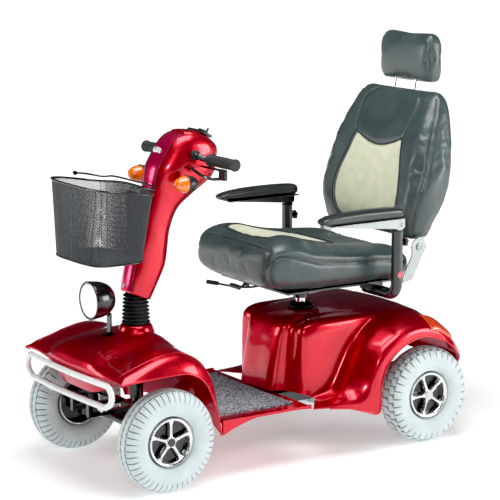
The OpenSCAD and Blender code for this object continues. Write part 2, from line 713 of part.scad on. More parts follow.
module indicator_lenses() {
    color([1, 0.45, 0.08]) both_sides() translate([338.4, 143, 940]) rotate([0, 90, 0])
        rotate_extrude() polygon(concat([[0, 0]],
            [for (k = [0:8]) let(t = 11.25 * k) [27 * cos(t), 46 * sin(t)]]));
}

// ---------- basket ----------

// Outline of the basket at a share of its height: 0 is the floor and 1 the rim
function basket_ring(h, inset, z_off = 0) =
    let(half = basket_half - 44 * (1 - h) - inset,
        depth = 107 - 7 * (1 - h) - inset,
        mid = 565 + 13 * (1 - h))
    [for (p = squircle(depth, half, 4, 40))
        [mid + p[0], p[1], basket_floor + z_off + h * (basket_rim - basket_floor - z_off
            - 34 * h * pow((depth - p[0]) / (2 * depth), 1.5) * (1 - 0.55 * (1 - pow(abs(p[1]) / half, 2))))]];

// Open tub with a rolled rim
module basket() {
    t = 3;
    bead = 3.5;
    levels = [0, 0.04, 0.25, 0.5, 0.75, 0.97];
    wall_out = [for (h = levels) basket_ring(h, 0)];
    rolled = [basket_ring(0.972, -bead), basket_ring(1, -bead), basket_ring(1.005, t / 2),
        basket_ring(1, t + bead), basket_ring(0.972, t + bead)];
    wall_in = [for (k = [len(levels) - 1:-1:0]) basket_ring(levels[k], t, t)];
    color([0.25, 0.26, 0.28]) loft(concat(wall_out, rolled, wall_in));
}

handle_pivot = [556, 189, 953];
module basket_handle() {
    low = handle_pivot[2] - 9;
    path = smooth([[handle_pivot[0], 189, handle_pivot[2]], [520, 189, 948], [484, 182, 940], [466, 160, 937],
        [458, 110, low], [455, 0, low]], 20);
    color([0.08, 0.08, 0.09]) {
        both_sides() {
            sweep(path, 3.2, 10);
            y_cyl(handle_pivot[0], handle_pivot[2], 185, 193, 7);
        }
    }
}

// Steel plate on the tiller that the basket hangs on
module basket_bracket() {
    color([0.1, 0.1, 0.11]) {
        translate([452.5, -30, 760]) cube([4, 60, 150]);
        for (hook = [[447.6, 775], [415.4, 885]])
            translate([hook[0], -12, hook[1]]) cube([454 - hook[0], 24, 12]);
    }
}

// ---------- seat ----------

module seat_post() {
    color([0.85, 0.86, 0.88]) {
        translate([post_x, 0, 330]) cylinder(h = post_top - 330, r = post_r);
    }
}

module seat_swivel() {
    color([0.13, 0.13, 0.14]) {
        difference() {
            union() {
                translate([post_x, 0, 486]) cylinder(h = 47, r = 27);
                translate([post_x - 105, -112, 529]) cube([210, 224, 5]);
            }
            translate([post_x, 0, 480]) cylinder(h = post_top + 0.4 - 480, r = post_r + run);
        }
        for (side = [-1, 1])
            translate([post_x - 130, side * 100 - 9, 534]) cube([260, 18, 6]);
    }
}

// Upper slide rails, pan and armrest tubes under the cushion
module seat_pan() {
    tube_r = 19;
    elbow = 42;
    low_z = 527;
    color([0.12, 0.13, 0.13]) {
        for (side = [-1, 1])
            translate([post_x - 170, side * 100 - 11, 540.4]) cube([340, 22, 7]);
        difference() {
            translate([-470, -200, pan_z]) cube([455, 400, 6]);
            translate([post_x, 0, pan_z - 1]) cylinder(h = 10, r = 40);
        }
        both_sides() {
            y_cyl(arm_x, low_z, 150, arm_y - elbow, tube_r);
            translate([arm_x, arm_y - elbow, low_z + elbow]) rotate([90, 0, 90]) rotate([0, 0, -90])
                rotate_extrude(angle = 90) translate([elbow, 0]) circle(r = tube_r);
            difference() {
                translate([arm_x, arm_y, low_z + elbow]) cylinder(h = 745 - low_z - elbow, r = tube_r);
                translate([arm_x, arm_y, 620]) cylinder(h = 200, r = arm_post_r + run);
                translate([arm_x, arm_y, knob_z]) rotate([0, -90, 0]) cylinder(h = 30, r = 3 + run);
            }
            translate([arm_x - 26, 150, low_z]) cube([52, 60, 24]);
        }
    }
}

// Section of the cushion across the seat: x, half width, bottom and top
cushion_rows = [
    [-502, 215, 572, 632], [-492, 238, 561, 652], [-450, 252, 556, 672], [-380, 256, 556, 680],
    [-290, 258, 556.5, 687], [-200, 258, 558, 697], [-110, 257, 562, 712], [-30, 252, 568, 728],
    [30, 243, 574, 724], [66, 230, 582, 706], [82, 212, 596, 682], [87, 190, 612, 662]];

module seat_cushion() {
    color([0.22, 0.28, 0.28])
        loft([for (q = smooth(cushion_rows, 22))
            let(mid = (q[2] + q[3]) / 2, half_h = (q[3] - q[2]) / 2)
            [for (p = squircle(q[1], half_h, 3.6, 28)) [q[0], p[0], mid + p[1]]]]);
}

module swivel_lever() {
    path = smooth([[-120, -96, 520], [-60, -99, 518], [0, -124, 526], [40, -147, 536]], 12);
    color([0.1, 0.1, 0.1]) {
        rod([-124, -110, 520], [-124, -84, 520], 6);
        sweep(path, 3.4, 8);
        rod([34, -143, 534.5], [70, -164, 542], 7);
    }
}

module slide_lever() {
    path = smooth([[-30, -70, 536], [0, -70, 531], [20, -70, 532], [31, -68, 538], [34, -60, 543]], 12);
    color([0.1, 0.1, 0.1]) {
        y_cyl(-30, 536, -84, -56, 5);
        sweep(path, 3, 8);
        rod([34, -64, 543], [34, -14, 543], 8);
    }
}

module arm_post() {
    color([0.2, 0.21, 0.21]) {
        translate([arm_x, 0, 0]) {
            translate([0, 0, 625]) cylinder(h = 124, r = arm_post_r);
        }
        difference() {
            union() {
                y_cyl(arm_pivot[0], arm_pivot[1], -5, 5, 12);
                translate([arm_pivot[0] - 6, -5, 745.5]) cube([22, 10, 20]);
            }
            y_cyl(arm_pivot[0], arm_pivot[1], -8, 8, 5 + run);
        }
    }
}

// Star knob with the screw that clamps an arm post in its tube
module arm_knob() {
    color([0.06, 0.06, 0.06]) translate([arm_x, 0, knob_z]) rotate([0, -90, 0]) {
        translate([0, 0, arm_post_r + 0.4]) cylinder(h = 16, r = 3);
        translate([0, 0, 20]) cylinder(h = 8, r = 7);
        translate([0, 0, 26]) linear_extrude(11) {
            circle(r = 12);
            for (k = [0:4]) rotate(72 * k) translate([11, 0]) circle(r = 5, $fn = 20);
        }
    }
}

module at_arm(side) {
    translate([0, side * arm_y, 0]) children();
}

// Tapered cheek plates, cross pin, knob side and pad
module armrest(side) {
    pad_mid = -15 * side;
    color([0.78, 0.79, 0.8]) {
        for (y = [-10.5, 6.5])
            translate([0, y + 4, 0]) rotate([90, 0, 0]) linear_extrude(4) polygon([
                [-396, 757], [-391, 752], [-378, 752], [-140, 777], [-112, 784], [-112, 786], [-396, 786]]);
        y_cyl(arm_pivot[0], arm_pivot[1], -13, 13, 5);
        translate([-394, pad_mid - 14, 782]) cube([290, 28, 4]);
    }
    color([0.2, 0.24, 0.24]) hull() {
        for (y = [-18, 18]) {
            translate([-383, pad_mid + y, 797]) sphere(r = 11, $fn = 16);
            translate([-383, pad_mid + y, 812]) sphere(r = 12, $fn = 16);
            translate([-130, pad_mid + y, 806]) sphere(r = 10, $fn = 16);
            translate([-90, pad_mid + y * 0.8, 796]) sphere(r = 10, $fn = 16);
            translate([-72, pad_mid + y * 0.4, 795]) sphere(r = 9, $fn = 16);
        }
    }
}

module recliner_plates() {
    color([0.72, 0.73, 0.74]) both_sides() {
        translate([0, 266, 0]) rotate([90, 0, 0]) difference() {
            linear_extrude(5) union() {
                translate([recline_x, recline_z]) circle(r = 30);
                polygon([[-480, recline_z + 10], [-527, recline_z - 20], [-480, 560], [-440, 552],
                    [-440, 572], [-478, 640]]);
            }
            translate([recline_x, recline_z, -1]) cylinder(h = 8, r = 8 + run);
        }
    }
}

// Section of the backrest at a height: z, half width, front and rear
back_rows = [
    [684, 238, -488, -566], [692, 253, -480, -580], [740, 270, -472, -602], [800, 287, -474, -628],
    [860, 295, -486, -645], [930, 292, -507, -658], [1000, 281, -530, -667], [1070, 261, -560, -673],
    [1120, 243, -586, -674], [1155, 226, -604, -672], [1177, 204, -620, -662], [1184, 178, -632, -651]];

// Round post of the headrest, between two distances from where it leaves the backrest
module head_post(side, low, high, r) {
    leaves = [-650, side * 55, 1190];
    along = [-0.17, 0, 0.98544];
    rod(leaves + low * along, leaves + high * along, r);
}

module backrest() {
    color([0.22, 0.28, 0.28]) difference() {
        loft([for (q = smooth(back_rows, 20))
            let(mid = (q[2] + q[3]) / 2, half_d = (q[2] - q[3]) / 2)
            [for (p = squircle(half_d, q[1], 5.5, 32)) [mid + p[0], p[1], q[0]]]]);
        for (side = [-1, 1]) head_post(side, -150, 20, 5 + run);
    }
    color([0.72, 0.73, 0.74]) both_sides() {
        y_cyl(recline_x, recline_z, 245, 269, 8);
        y_cyl(recline_x, recline_z, 266.5, 270, 12);
        difference() {
            translate([0, 260.5, 0]) rotate([90, 0, 0]) linear_extrude(6) union() {
                translate([recline_x, recline_z]) circle(r = 22);
                polygon([[recline_x - 20, recline_z], [recline_x + 14, recline_z], [-512, 740], [-560, 740]]);
            }
        }
    }
}

// Headrest pad on two posts that slide in the backrest
module headrest() {
    rows = [[1201, 126, -652, -694], [1206, 138, -640, -704], [1240, 146, -631, -710], [1290, 147, -629, -712],
        [1335, 144, -634, -707], [1360, 134, -645, -697], [1369, 118, -658, -684]];
    color([0.22, 0.27, 0.27])
        loft([for (q = smooth(rows, 12))
            let(mid = (q[2] + q[3]) / 2, half_d = (q[2] - q[3]) / 2)
            [for (p = squircle(half_d, q[1], 5, 32)) [mid + p[0], p[1], q[0]]]]);
    color([0.72, 0.73, 0.74])
        for (side = [-1, 1]) head_post(side, -148, 40, 5);
}

module recline_lever() {
    path = smooth([[recline_x, -276, recline_z], [recline_x + 20, -277, recline_z - 22],
        [recline_x + 60, -278, recline_z - 46], [recline_x + 92, -278, recline_z - 56]], 10);
    color([0.1, 0.1, 0.1]) {
        y_cyl(recline_x, recline_z, -282, -270.5, 10);
        sweep(path, 4, 8);
    }
}

// ---------- every sub-part by name ----------

at_wheel(axle_x, 1) tyre();  // tyre_front_left
at_wheel(axle_x, -1) tyre();  // tyre_front_right
at_wheel(-axle_x, 1) tyre();  // tyre_rear_left
at_wheel(-axle_x, -1) tyre();  // tyre_rear_right
at_wheel(axle_x, 1) rim(stub_r + run);  // rim_front_left
at_wheel(axle_x, -1) rim(stub_r + run);  // rim_front_right
at_wheel(-axle_x, 1) rim(shaft_r + run);  // rim_rear_left
at_wheel(-axle_x, -1) rim(shaft_r + run);  // rim_rear_right
shaft_rear();  // shaft_rear_left
mirror([0, 1, 0]) shaft_rear();  // shaft_rear_right
steering_stem();
steering_boot();
knuckle();  // knuckle_left
mirror([0, 1, 0]) knuckle();  // knuckle_right
tie_rod(1, rod_z_left);  // tie_rod_left
tie_rod(-1, rod_z_right);  // tie_rod_right
main_frame();
front_cowl();
floor_deck();
floor_mat();
rear_body();
bumper_bar();
headlight_housing();
headlight_lens();
tail_lamps();
post_grommet();
battery_pack();
transaxle();
tiller_column();
tiller_cover();
tiller_front_panel();
dash_panel();
handlebar();
grips();
indicator_stems();
indicator_lenses();
basket_bracket();
basket();
basket_handle();
throttle_lever();
brake_lever();
key_switch();
speed_dial();
horn_button();
seat_post();
seat_swivel();
seat_pan();
seat_cushion();
swivel_lever();
slide_lever();
at_arm(1) arm_post();  // arm_post_left
at_arm(-1) arm_post();  // arm_post_right
at_arm(1) arm_knob();  // arm_knob_left
at_arm(-1) arm_knob();  // arm_knob_right
at_arm(1) armrest(1);  // armrest_left
at_arm(-1) armrest(-1);  // armrest_right
recliner_plates();
backrest();
headrest();
recline_lever();
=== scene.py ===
import math

import bmesh
import bpy
import numpy as np
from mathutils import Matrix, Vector
from mathutils.bvhtree import BVHTree


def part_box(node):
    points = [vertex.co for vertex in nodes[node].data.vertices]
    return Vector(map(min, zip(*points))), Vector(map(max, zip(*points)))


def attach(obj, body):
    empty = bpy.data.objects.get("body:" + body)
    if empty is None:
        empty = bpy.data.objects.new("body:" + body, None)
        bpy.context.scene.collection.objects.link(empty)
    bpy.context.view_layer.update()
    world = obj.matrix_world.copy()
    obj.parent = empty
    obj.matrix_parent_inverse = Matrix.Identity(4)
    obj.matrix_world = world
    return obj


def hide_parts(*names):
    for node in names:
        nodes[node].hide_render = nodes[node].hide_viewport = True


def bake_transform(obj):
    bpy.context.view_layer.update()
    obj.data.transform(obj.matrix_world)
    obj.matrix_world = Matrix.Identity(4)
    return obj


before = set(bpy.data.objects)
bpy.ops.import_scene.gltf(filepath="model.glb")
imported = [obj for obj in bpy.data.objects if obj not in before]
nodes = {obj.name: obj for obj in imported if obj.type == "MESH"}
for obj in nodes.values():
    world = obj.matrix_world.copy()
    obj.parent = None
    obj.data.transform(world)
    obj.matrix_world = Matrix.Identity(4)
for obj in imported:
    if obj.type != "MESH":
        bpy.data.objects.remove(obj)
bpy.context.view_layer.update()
scene = bpy.context.scene
SIDES = {"left": 1, "right": -1}

# ---------- geometry helpers ----------


def spline_at(points, s):
    """Catmull-Rom spline through the points, at parameter s from 0 to one less than their number."""
    last = len(points) - 1
    i = min(int(s), last - 1)
    t = s - i
    a, b, c, d = (np.asarray(points[min(max(i + k, 0), last)], float) for k in (-1, 0, 1, 2))
    return 0.5 * (2 * b + (c - a) * t + (2 * a - 5 * b + 4 * c - d) * t**2 + (3 * b - a - 3 * c + d) * t**3)


def smooth_line(points, steps):
    return np.array([spline_at(points, k * (len(points) - 1) / steps) for k in range(steps + 1)])


def power(value, exponent):
    return np.sign(value) * np.abs(value) ** exponent


def superellipse(a, b, exponent, count):
    t = np.arange(count) * 2 * np.pi / count
    return np.stack([a * power(np.cos(t), 2 / exponent), b * power(np.sin(t), 2 / exponent)], 1)


def smoothstep(low, high, value):
    t = np.clip((np.asarray(value, float) - low) / (high - low), 0, 1)
    return t * t * (3 - 2 * t)


def grid_faces(rows, columns, close_rows=False, close_columns=False):
    faces = []
    for i in range(rows if close_rows else rows - 1):
        for j in range(columns if close_columns else columns - 1):
            a, b = i * columns + j, i * columns + (j + 1) % columns
            n = (i + 1) % rows * columns
            faces.append((a, b, n + (j + 1) % columns, n + j))
    return faces


def piece(name, points, faces, body, material, sharp=40, slot=None, replaces=()):
    """Makes a mesh object that rides on a CAD body."""
    mesh = bpy.data.meshes.new(name)
    mesh.from_pydata([tuple(map(float, p)) for p in points], [], faces)
    mesh.validate()
    outwards = bmesh.new()
    outwards.from_mesh(mesh)
    bmesh.ops.recalc_face_normals(outwards, faces=outwards.faces)
    outwards.to_mesh(mesh)
    outwards.free()
    mesh.shade_smooth()
    if sharp:
        mesh.set_sharp_from_angle(angle=math.radians(sharp))
    mesh.materials.append(material)
    obj = bpy.data.objects.new(name, mesh)
    scene.collection.objects.link(obj)
    if body:
        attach(obj, body)
    if replaces:
        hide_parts(*replaces)
    return obj


def skin(rings, loop=False):
    """Points and faces of a surface through closed rings of equal length, capped or joined as a loop."""
    rings = np.asarray(rings, float)
    n, m = rings.shape[:2]
    faces = grid_faces(n, m, close_rows=loop, close_columns=True)
    if not loop:
        faces += [tuple(range(m - 1, -1, -1)), tuple(range((n - 1) * m, n * m))]
    return rings.reshape(-1, 3), faces


def loft(name, rings, body, material, **options):
    return piece(name, *skin(rings), body, material, **options)


def tube_rings(path, radius, sides=16, closed=False):
    """Rings along a path, turned as little as possible from one to the next. The radius may vary."""
    path = np.asarray(path, float)
    n = len(path)
    radius = np.broadcast_to(np.asarray(radius, float), (n,))
    if closed:
        ahead, behind = np.roll(path, -1, 0), np.roll(path, 1, 0)
    else:
        ahead, behind = np.vstack([path[1:], path[-1:]]), np.vstack([path[:1], path[:-1]])
    along = ahead - behind
    along /= np.linalg.norm(along, axis=1)[:, None]
    side = np.cross(along[0], [0.12, 0.21, 0.97])
    rings = []
    for p, d, r in zip(path, along, radius):
        side = side - d * (side @ d)
        side /= np.linalg.norm(side)
        top = np.cross(d, side)
        t = np.arange(sides)[:, None] * 2 * np.pi / sides
        rings.append(p + r * (np.cos(t) * side + np.sin(t) * top))
    return np.array(rings)


def tube_part(path, radius, sides=10, closed=False):
    return skin(tube_rings(path, radius, sides, closed), closed)


def tube(name, path, radius, body, material, sides=16, closed=False, **options):
    return piece(name, *tube_part(path, radius, sides, closed), body, material, **options)


def turned_part(profile, centre, axis, count=24, loop=False):
    """Solid of revolution: profile rows are (radius, distance along the axis)."""
    turn = np.array(Vector((0, 0, 1)).rotation_difference(Vector(axis).normalized()).to_matrix())
    t = np.arange(count) * 2 * np.pi / count
    rings = np.array([np.stack([r * np.cos(t), r * np.sin(t), np.full(count, h)], 1) for r, h in profile])
    return skin(rings @ turn.T + np.asarray(centre, float), loop)


def turned(name, profile, centre, axis, body, material, count=72, loop=False, **options):
    return piece(name, *turned_part(profile, centre, axis, count, loop), body, material, **options)


def rounded(corners, radius, steps=4):
    """Rounds every inner corner of an open outline with an arc-like curve."""
    corners = [np.asarray(c, float) for c in corners]
    out = [corners[0]]
    for before, here, after in zip(corners, corners[1:], corners[2:]):
        to_before, to_after = before - here, after - here
        cut = min(radius, np.linalg.norm(to_before) * 0.45, np.linalg.norm(to_after) * 0.45)
        start = here + to_before / np.linalg.norm(to_before) * cut
        end = here + to_after / np.linalg.norm(to_after) * cut
        for k in range(steps + 1):
            t = k / steps
            out.append((1 - t) ** 2 * start + 2 * t * (1 - t) * here + t**2 * end)
    return out + [corners[-1]]


def joined(name, parts, body, material, **options):
    """One piece from several (points, faces) parts."""
    points, faces = [], []
    for part_points, part_faces in parts:
        base = len(points)
        points += list(part_points)
        faces += [tuple(i + base for i in f) for f in part_faces]
    return piece(name, points, faces, body, material, **options)


def add_modifier(obj, kind, **values):
    modifier = obj.modifiers.new(kind.title(), kind)
    for key, value in values.items():
        setattr(modifier, key, value)
    return modifier


# ---------- materials ----------


def shader(name, colour, rough, metal=0.0, **sockets):
    """A Principled material with its plain values set, and its node tree."""
    mat = bpy.data.materials.new(name)
    mat.use_nodes = True
    mat.diffuse_color = (*colour, 1)
    bsdf = mat.node_tree.nodes["Principled BSDF"]
    values = {"Base Color": (*colour, 1), "Roughness": rough, "Metallic": metal, **sockets}
    for key, value in values.items():
        bsdf.inputs[key].default_value = value
    return mat, mat.node_tree, bsdf


def add(tree, kind, settings=None, **inputs):
    made = tree.nodes.new("ShaderNode" + kind)
    for key, value in (settings or {}).items():
        setattr(made, key, value)
    for key, value in inputs.items():
        socket = made.inputs[int(key[2:]) if key.startswith("at") else key.replace("_", " ")]
        if isinstance(value, bpy.types.NodeSocket):
            tree.links.new(value, socket)
        else:
            socket.default_value = value
    return made


def object_space(tree, stretch=(1, 1, 1)):
    place = add(tree, "TexCoord").outputs["Object"]
    return add(tree, "Mapping", Vector=place, Scale=stretch).outputs["Vector"]


def noise(tree, scale, detail=3.0, stretch=(1, 1, 1)):
    made = add(tree, "TexNoise", Vector=object_space(tree, stretch), Scale=scale, Detail=detail)
    return made.outputs["Fac"]


def spread(tree, value, low, high, out_low, out_high):
    made = add(tree, "MapRange", Value=value, From_Min=low, From_Max=high, To_Min=out_low, To_Max=out_high)
    return made.outputs["Result"]


def blend_colours(tree, factor, first, second):
    made = add(tree, "Mix", {"data_type": "RGBA"}, at0=factor)
    for index, value in ((6, first), (7, second)):
        if isinstance(value, bpy.types.NodeSocket):
            tree.links.new(value, made.inputs[index])
        else:
            made.inputs[index].default_value = (*value, 1)
    return made.outputs[2]


def bump(tree, bsdf, height, strength, distance):
    """Adds a relief on top of any that the material has already."""
    made = add(tree, "Bump", Height=height, Strength=strength, Distance=distance)
    socket = bsdf.inputs["Normal"]
    if socket.is_linked:
        tree.links.new(socket.links[0].from_socket, made.inputs["Normal"])
    tree.links.new(made.outputs["Normal"], socket)


def tint(tree, bsdf, factor, first, second):
    tree.links.new(blend_colours(tree, factor, first, second), bsdf.inputs["Base Color"])


def vary_roughness(tree, bsdf, value, low, high):
    tree.links.new(spread(tree, value, 0.3, 0.7, low, high), bsdf.inputs["Roughness"])


def candy_paint(name, colour, deep):
    """Metallic red under a clear coat, with fine flakes, a faint orange peel and slight depth changes."""
    mat, tree, bsdf = shader(name, colour, 0.32, 0.72, **{
        "Coat Weight": 1.0, "Coat Roughness": 0.06, "Coat IOR": 1.4, "Specular IOR Level": 0.3,
        "Specular Tint": (1.0, 0.4, 0.62, 1)})
    flakes = add(tree, "TexVoronoi", Vector=object_space(tree), Scale=1400.0)
    drift = noise(tree, 5.0, 2.0)
    base = blend_colours(tree, spread(tree, drift, 0.3, 0.7, 0.0, 0.35), colour, deep)
    sparkle = spread(tree, flakes.outputs["Color"], 0.0, 1.0, 0.0, 0.16)
    tint(tree, bsdf, sparkle, base, (1.0, 0.25, 0.4))
    vary_roughness(tree, bsdf, noise(tree, 60.0), 0.27, 0.36)
    peel = add(tree, "Bump", Height=noise(tree, 220.0, 1.0), Strength=0.04, Distance=0.0004)
    tree.links.new(peel.outputs["Normal"], bsdf.inputs["Coat Normal"])
    return mat


def grained_vinyl(name, colour, deep, rough=0.42):
    """Soft vinyl with a pebbled leather grain, and painted shade darkening the hollows of the grain."""
    mat, tree, bsdf = shader(name, colour, rough, 0.0, **{
        "Sheen Weight": 0.06, "Sheen Roughness": 0.4, "Specular IOR Level": 0.6, "Coat Weight": 0.45,
        "Coat Roughness": 0.24})
    cells = add(tree, "TexVoronoi", {"feature": "DISTANCE_TO_EDGE"}, Vector=object_space(tree), Scale=420.0)
    grain = spread(tree, cells.outputs["Distance"], 0.0, 0.25, 0.0, 1.0)
    cloud = noise(tree, 14.0, 4.0)
    shade = blend_colours(tree, spread(tree, cloud, 0.25, 0.75, 0.0, 1.0), deep, colour)
    # Painted shade: the colour darkens towards deep in the hollows of the grain.
    tint(tree, bsdf, spread(tree, grain, 0.0, 0.5, 0.45, 0.0), shade, deep)
    vary_roughness(tree, bsdf, cloud, rough - 0.07, rough + 0.08)
    bump(tree, bsdf, grain, 0.22, 0.0004)
    bump(tree, bsdf, noise(tree, 900.0, 2.0), 0.12, 0.0002)
    bump(tree, bsdf, noise(tree, 26.0, 3.0), 0.14, 0.003)
    return mat


def woven_fabric(name, colour, deep):
    """Pale upholstery cloth: a fine two-way weave, with painted shade between its threads, over a soft
    mottling.
    """
    mat, tree, bsdf = shader(name, colour, 0.85, 0.0, **{"Sheen Weight": 0.35, "Sheen Roughness": 0.5})
    place = object_space(tree)
    waves = []
    for direction in ("X", "Y", "Z"):
        wave = add(tree, "TexWave", {"bands_direction": direction}, Vector=place, Scale=210.0, Distortion=0.6)
        waves.append(wave.outputs["Fac"])
    first = add(tree, "Math", {"operation": "MULTIPLY"}, at0=waves[0], at1=waves[1]).outputs[0]
    weave = add(tree, "Math", {"operation": "MAXIMUM"}, at0=first, at1=waves[2]).outputs[0]
    cloud = noise(tree, 30.0, 5.0)
    shade = blend_colours(tree, spread(tree, cloud, 0.3, 0.7, 0.0, 1.0), deep, colour)
    # Painted shade: the colour darkens towards deep between the threads, where the weave is low.
    tint(tree, bsdf, spread(tree, weave, 0.0, 1.0, 0.18, 0.0), shade, deep)
    bump(tree, bsdf, weave, 0.3, 0.0005)
    bump(tree, bsdf, noise(tree, 700.0, 2.0), 0.2, 0.0004)
    return mat


def moulded(name, colour, rough, texture=900.0, relief=0.12, coat=0.0, worn=0.25):
    """Moulded plastic or rubber with a spark-eroded texture and handling marks."""
    mat, tree, bsdf = shader(name, colour, rough, 0.0, **{"Coat Weight": coat, "Coat Roughness": 0.08})
    cloud = noise(tree, 22.0, 4.0)
    lighter = tuple(min(1.0, c * 1.5 + 0.015) for c in colour)
    tint(tree, bsdf, spread(tree, cloud, 0.35, 0.75, 0.0, worn), colour, lighter)
    vary_roughness(tree, bsdf, noise(tree, 45.0), rough - 0.06, rough + 0.08)
    bump(tree, bsdf, noise(tree, texture, 2.0), relief, 0.0003)
    return mat


def tyre_rubber(name, colour, groove):
    """Pale solid-foam tyre rubber. The attribute `groove` darkens the bottoms of the tread."""
    mat, tree, bsdf = shader(name, colour, 0.72, 0.0, **{"Specular IOR Level": 0.35})
    cloud = noise(tree, 18.0, 5.0)
    deeper = tuple(c * 0.86 for c in colour)
    base = blend_colours(tree, spread(tree, cloud, 0.3, 0.7, 0.0, 1.0), deeper, colour)
    dusty = spread(tree, noise(tree, 160.0, 3.0), 0.55, 0.75, 0.0, 0.3)
    dust = blend_colours(tree, dusty, base, tuple(c * 0.7 for c in colour))
    depth = add(tree, "Attribute", {"attribute_name": "groove"}).outputs["Fac"]
    tint(tree, bsdf, depth, dust, groove)
    vary_roughness(tree, bsdf, cloud, 0.66, 0.82)
    bump(tree, bsdf, noise(tree, 500.0, 3.0), 0.12, 0.0004)
    return mat


def painted_metal(name, colour, rough, metal=0.0, coat=0.3, chips=0.15):
    """Powder coat with a fine texture and a few rubbed spots."""
    mat, tree, bsdf = shader(name, colour, rough, metal, **{"Coat Weight": coat, "Coat Roughness": 0.12})
    cloud = noise(tree, 30.0, 4.0)
    rubbed = tuple(min(1.0, c * 1.35 + 0.02) for c in colour)
    tint(tree, bsdf, spread(tree, cloud, 0.45, 0.75, 0.0, chips), colour, rubbed)
    vary_roughness(tree, bsdf, noise(tree, 90.0), rough - 0.05, rough + 0.07)
    bump(tree, bsdf, noise(tree, 800.0, 2.0), 0.08, 0.0002)
    return mat


def bare_metal(name, colour, rough, stretch=(1, 1, 1), lines=0.1):
    """Cast, brushed or plated metal with faint directional marks."""
    mat, tree, bsdf = shader(name, colour, rough, 1.0)
    marks = noise(tree, 160.0, 4.0, stretch)
    darker = tuple(c * 0.8 for c in colour)
    tint(tree, bsdf, spread(tree, marks, 0.3, 0.7, 0.0, 1.0), darker, colour)
    vary_roughness(tree, bsdf, marks, max(0.03, rough - 0.06), rough + 0.08)
    bump(tree, bsdf, marks, lines, 0.0002)
    return mat


def lamp_plastic(name, colour, deep, glow=0.0):
    """Lamp plastic with moulded prisms under a glossy face."""
    mat, tree, bsdf = shader(name, colour, 0.16, 0.0, **{
        "Coat Weight": 1.0, "Coat Roughness": 0.03, "Specular IOR Level": 0.6,
        "Emission Color": (*colour, 1), "Emission Strength": glow})
    cells = add(tree, "TexVoronoi", {"distance": "CHEBYCHEV"}, Vector=object_space(tree), Scale=170.0)
    facets = cells.outputs["Distance"]
    tint(tree, bsdf, spread(tree, facets, 0.1, 0.7, 0.0, 1.0), colour, deep)
    bump(tree, bsdf, facets, 0.5, 0.002)
    return mat


def speckled_mat(name):
    """Grey carpet-like rubber: dark and pale crumbs pressed together."""
    mat, tree, bsdf = shader(name, (0.32, 0.35, 0.37), 0.9)
    crumbs = add(tree, "TexVoronoi", Vector=object_space(tree), Scale=330.0).outputs["Color"]
    value = add(tree, "SeparateColor", Color=crumbs).outputs[0]
    grey = spread(tree, value, 0.25, 0.45, 0.0, 1.0)
    dark = blend_colours(tree, grey, (0.045, 0.055, 0.07), (0.26, 0.3, 0.33))
    tint(tree, bsdf, spread(tree, value, 0.72, 0.85, 0.0, 1.0), dark, (0.62, 0.66, 0.69))
    bump(tree, bsdf, value, 0.5, 0.0012)
    bump(tree, bsdf, noise(tree, 700.0, 2.0), 0.3, 0.0006)
    return mat


RED = candy_paint("candy_red", (0.6, 0.0, 0.004), (0.36, 0.0, 0.006))
# A pinker copy of the candy red for the tiller's front panel: its rose tint is painted reflection, standing
# in for the pink sheen of the lights on that face.
RED_WITH_PAINTED_SHEEN = candy_paint("candy_red_painted_sheen", (0.72, 0.01, 0.1), (0.5, 0.0, 0.05))
VINYL = grained_vinyl("slate_vinyl", (0.05, 0.078, 0.078), (0.032, 0.05, 0.051))
PIPING = grained_vinyl("seam_vinyl", (0.022, 0.034, 0.034), (0.014, 0.022, 0.022), 0.5)
CLOTH = woven_fabric("pale_insert", (0.62, 0.62, 0.46), (0.5, 0.53, 0.38))
TYRE = tyre_rubber("pale_tyre", (0.66, 0.74, 0.75), (0.24, 0.31, 0.33))
RUBBER = moulded("black_rubber", (0.022, 0.026, 0.026), 0.6, 600.0, 0.25)
BLACK = moulded("black_plastic", (0.014, 0.016, 0.018), 0.38, 900.0, 0.1, coat=0.15)
GLOSS_BLACK = moulded("gloss_black", (0.012, 0.013, 0.015), 0.22, 900.0, 0.03, coat=0.6)
STEEL = painted_metal("black_steel", (0.02, 0.024, 0.024), 0.3, coat=0.7)
GREY_CASE = painted_metal("grey_casting", (0.16, 0.17, 0.18), 0.5)
PALE = moulded("pearl_white", (0.78, 0.8, 0.79), 0.3, 300.0, 0.02, coat=0.6, worn=0.08)
ALLOY = bare_metal("wheel_alloy", (0.78, 0.79, 0.8), 0.22)
ZINC = bare_metal("zinc_steel", (0.62, 0.63, 0.63), 0.34)
CHROME = bare_metal("chrome_tube", (0.86, 0.87, 0.89), 0.07, (1, 1, 0.05), 0.02)
PLATE = painted_metal("grey_plate", (0.33, 0.355, 0.355), 0.38, 0.75, coat=0.1, chips=0.3)
AMBER = lamp_plastic("amber_plastic", (0.9, 0.24, 0.02), (0.55, 0.08, 0.005), 0.12)
TAIL = lamp_plastic("tail_plastic", (0.85, 0.1, 0.03), (0.4, 0.02, 0.01), 0.05)
CARPET = speckled_mat("speckled_mat")
WIRE = painted_metal("basket_wire", (0.07, 0.08, 0.088), 0.4, 0.2)
BADGE = painted_metal("blank_badge", (0.72, 0.74, 0.78), 0.25, 0.6, coat=0.8)
THREAD = moulded("sewing_thread", (0.16, 0.2, 0.2), 0.7, 1500.0, 0.1)
GLOSS_VINYL = grained_vinyl("black_vinyl", (0.03, 0.036, 0.037), (0.018, 0.022, 0.023), 0.34)
CAP = moulded("rose_cap", (0.55, 0.13, 0.14), 0.35, 900.0, 0.05, coat=0.4)

# ---------- wheels ----------

# Radius to the middle of the tyre's section, half the section's height, and the depth of the tread.
TYRE_MID = 0.1215
TYRE_HALF = 0.0435
TREAD_DEPTH = 0.0042


def wheel_place(node):
    """Middle of a wheel, the side that it faces, and its half width, from its CAD tyre."""
    low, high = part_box(node)
    centre = (np.array(low) + np.array(high)) / 2
    return centre, (1 if centre[1] > 0 else -1), (high[1] - low[1]) / 2


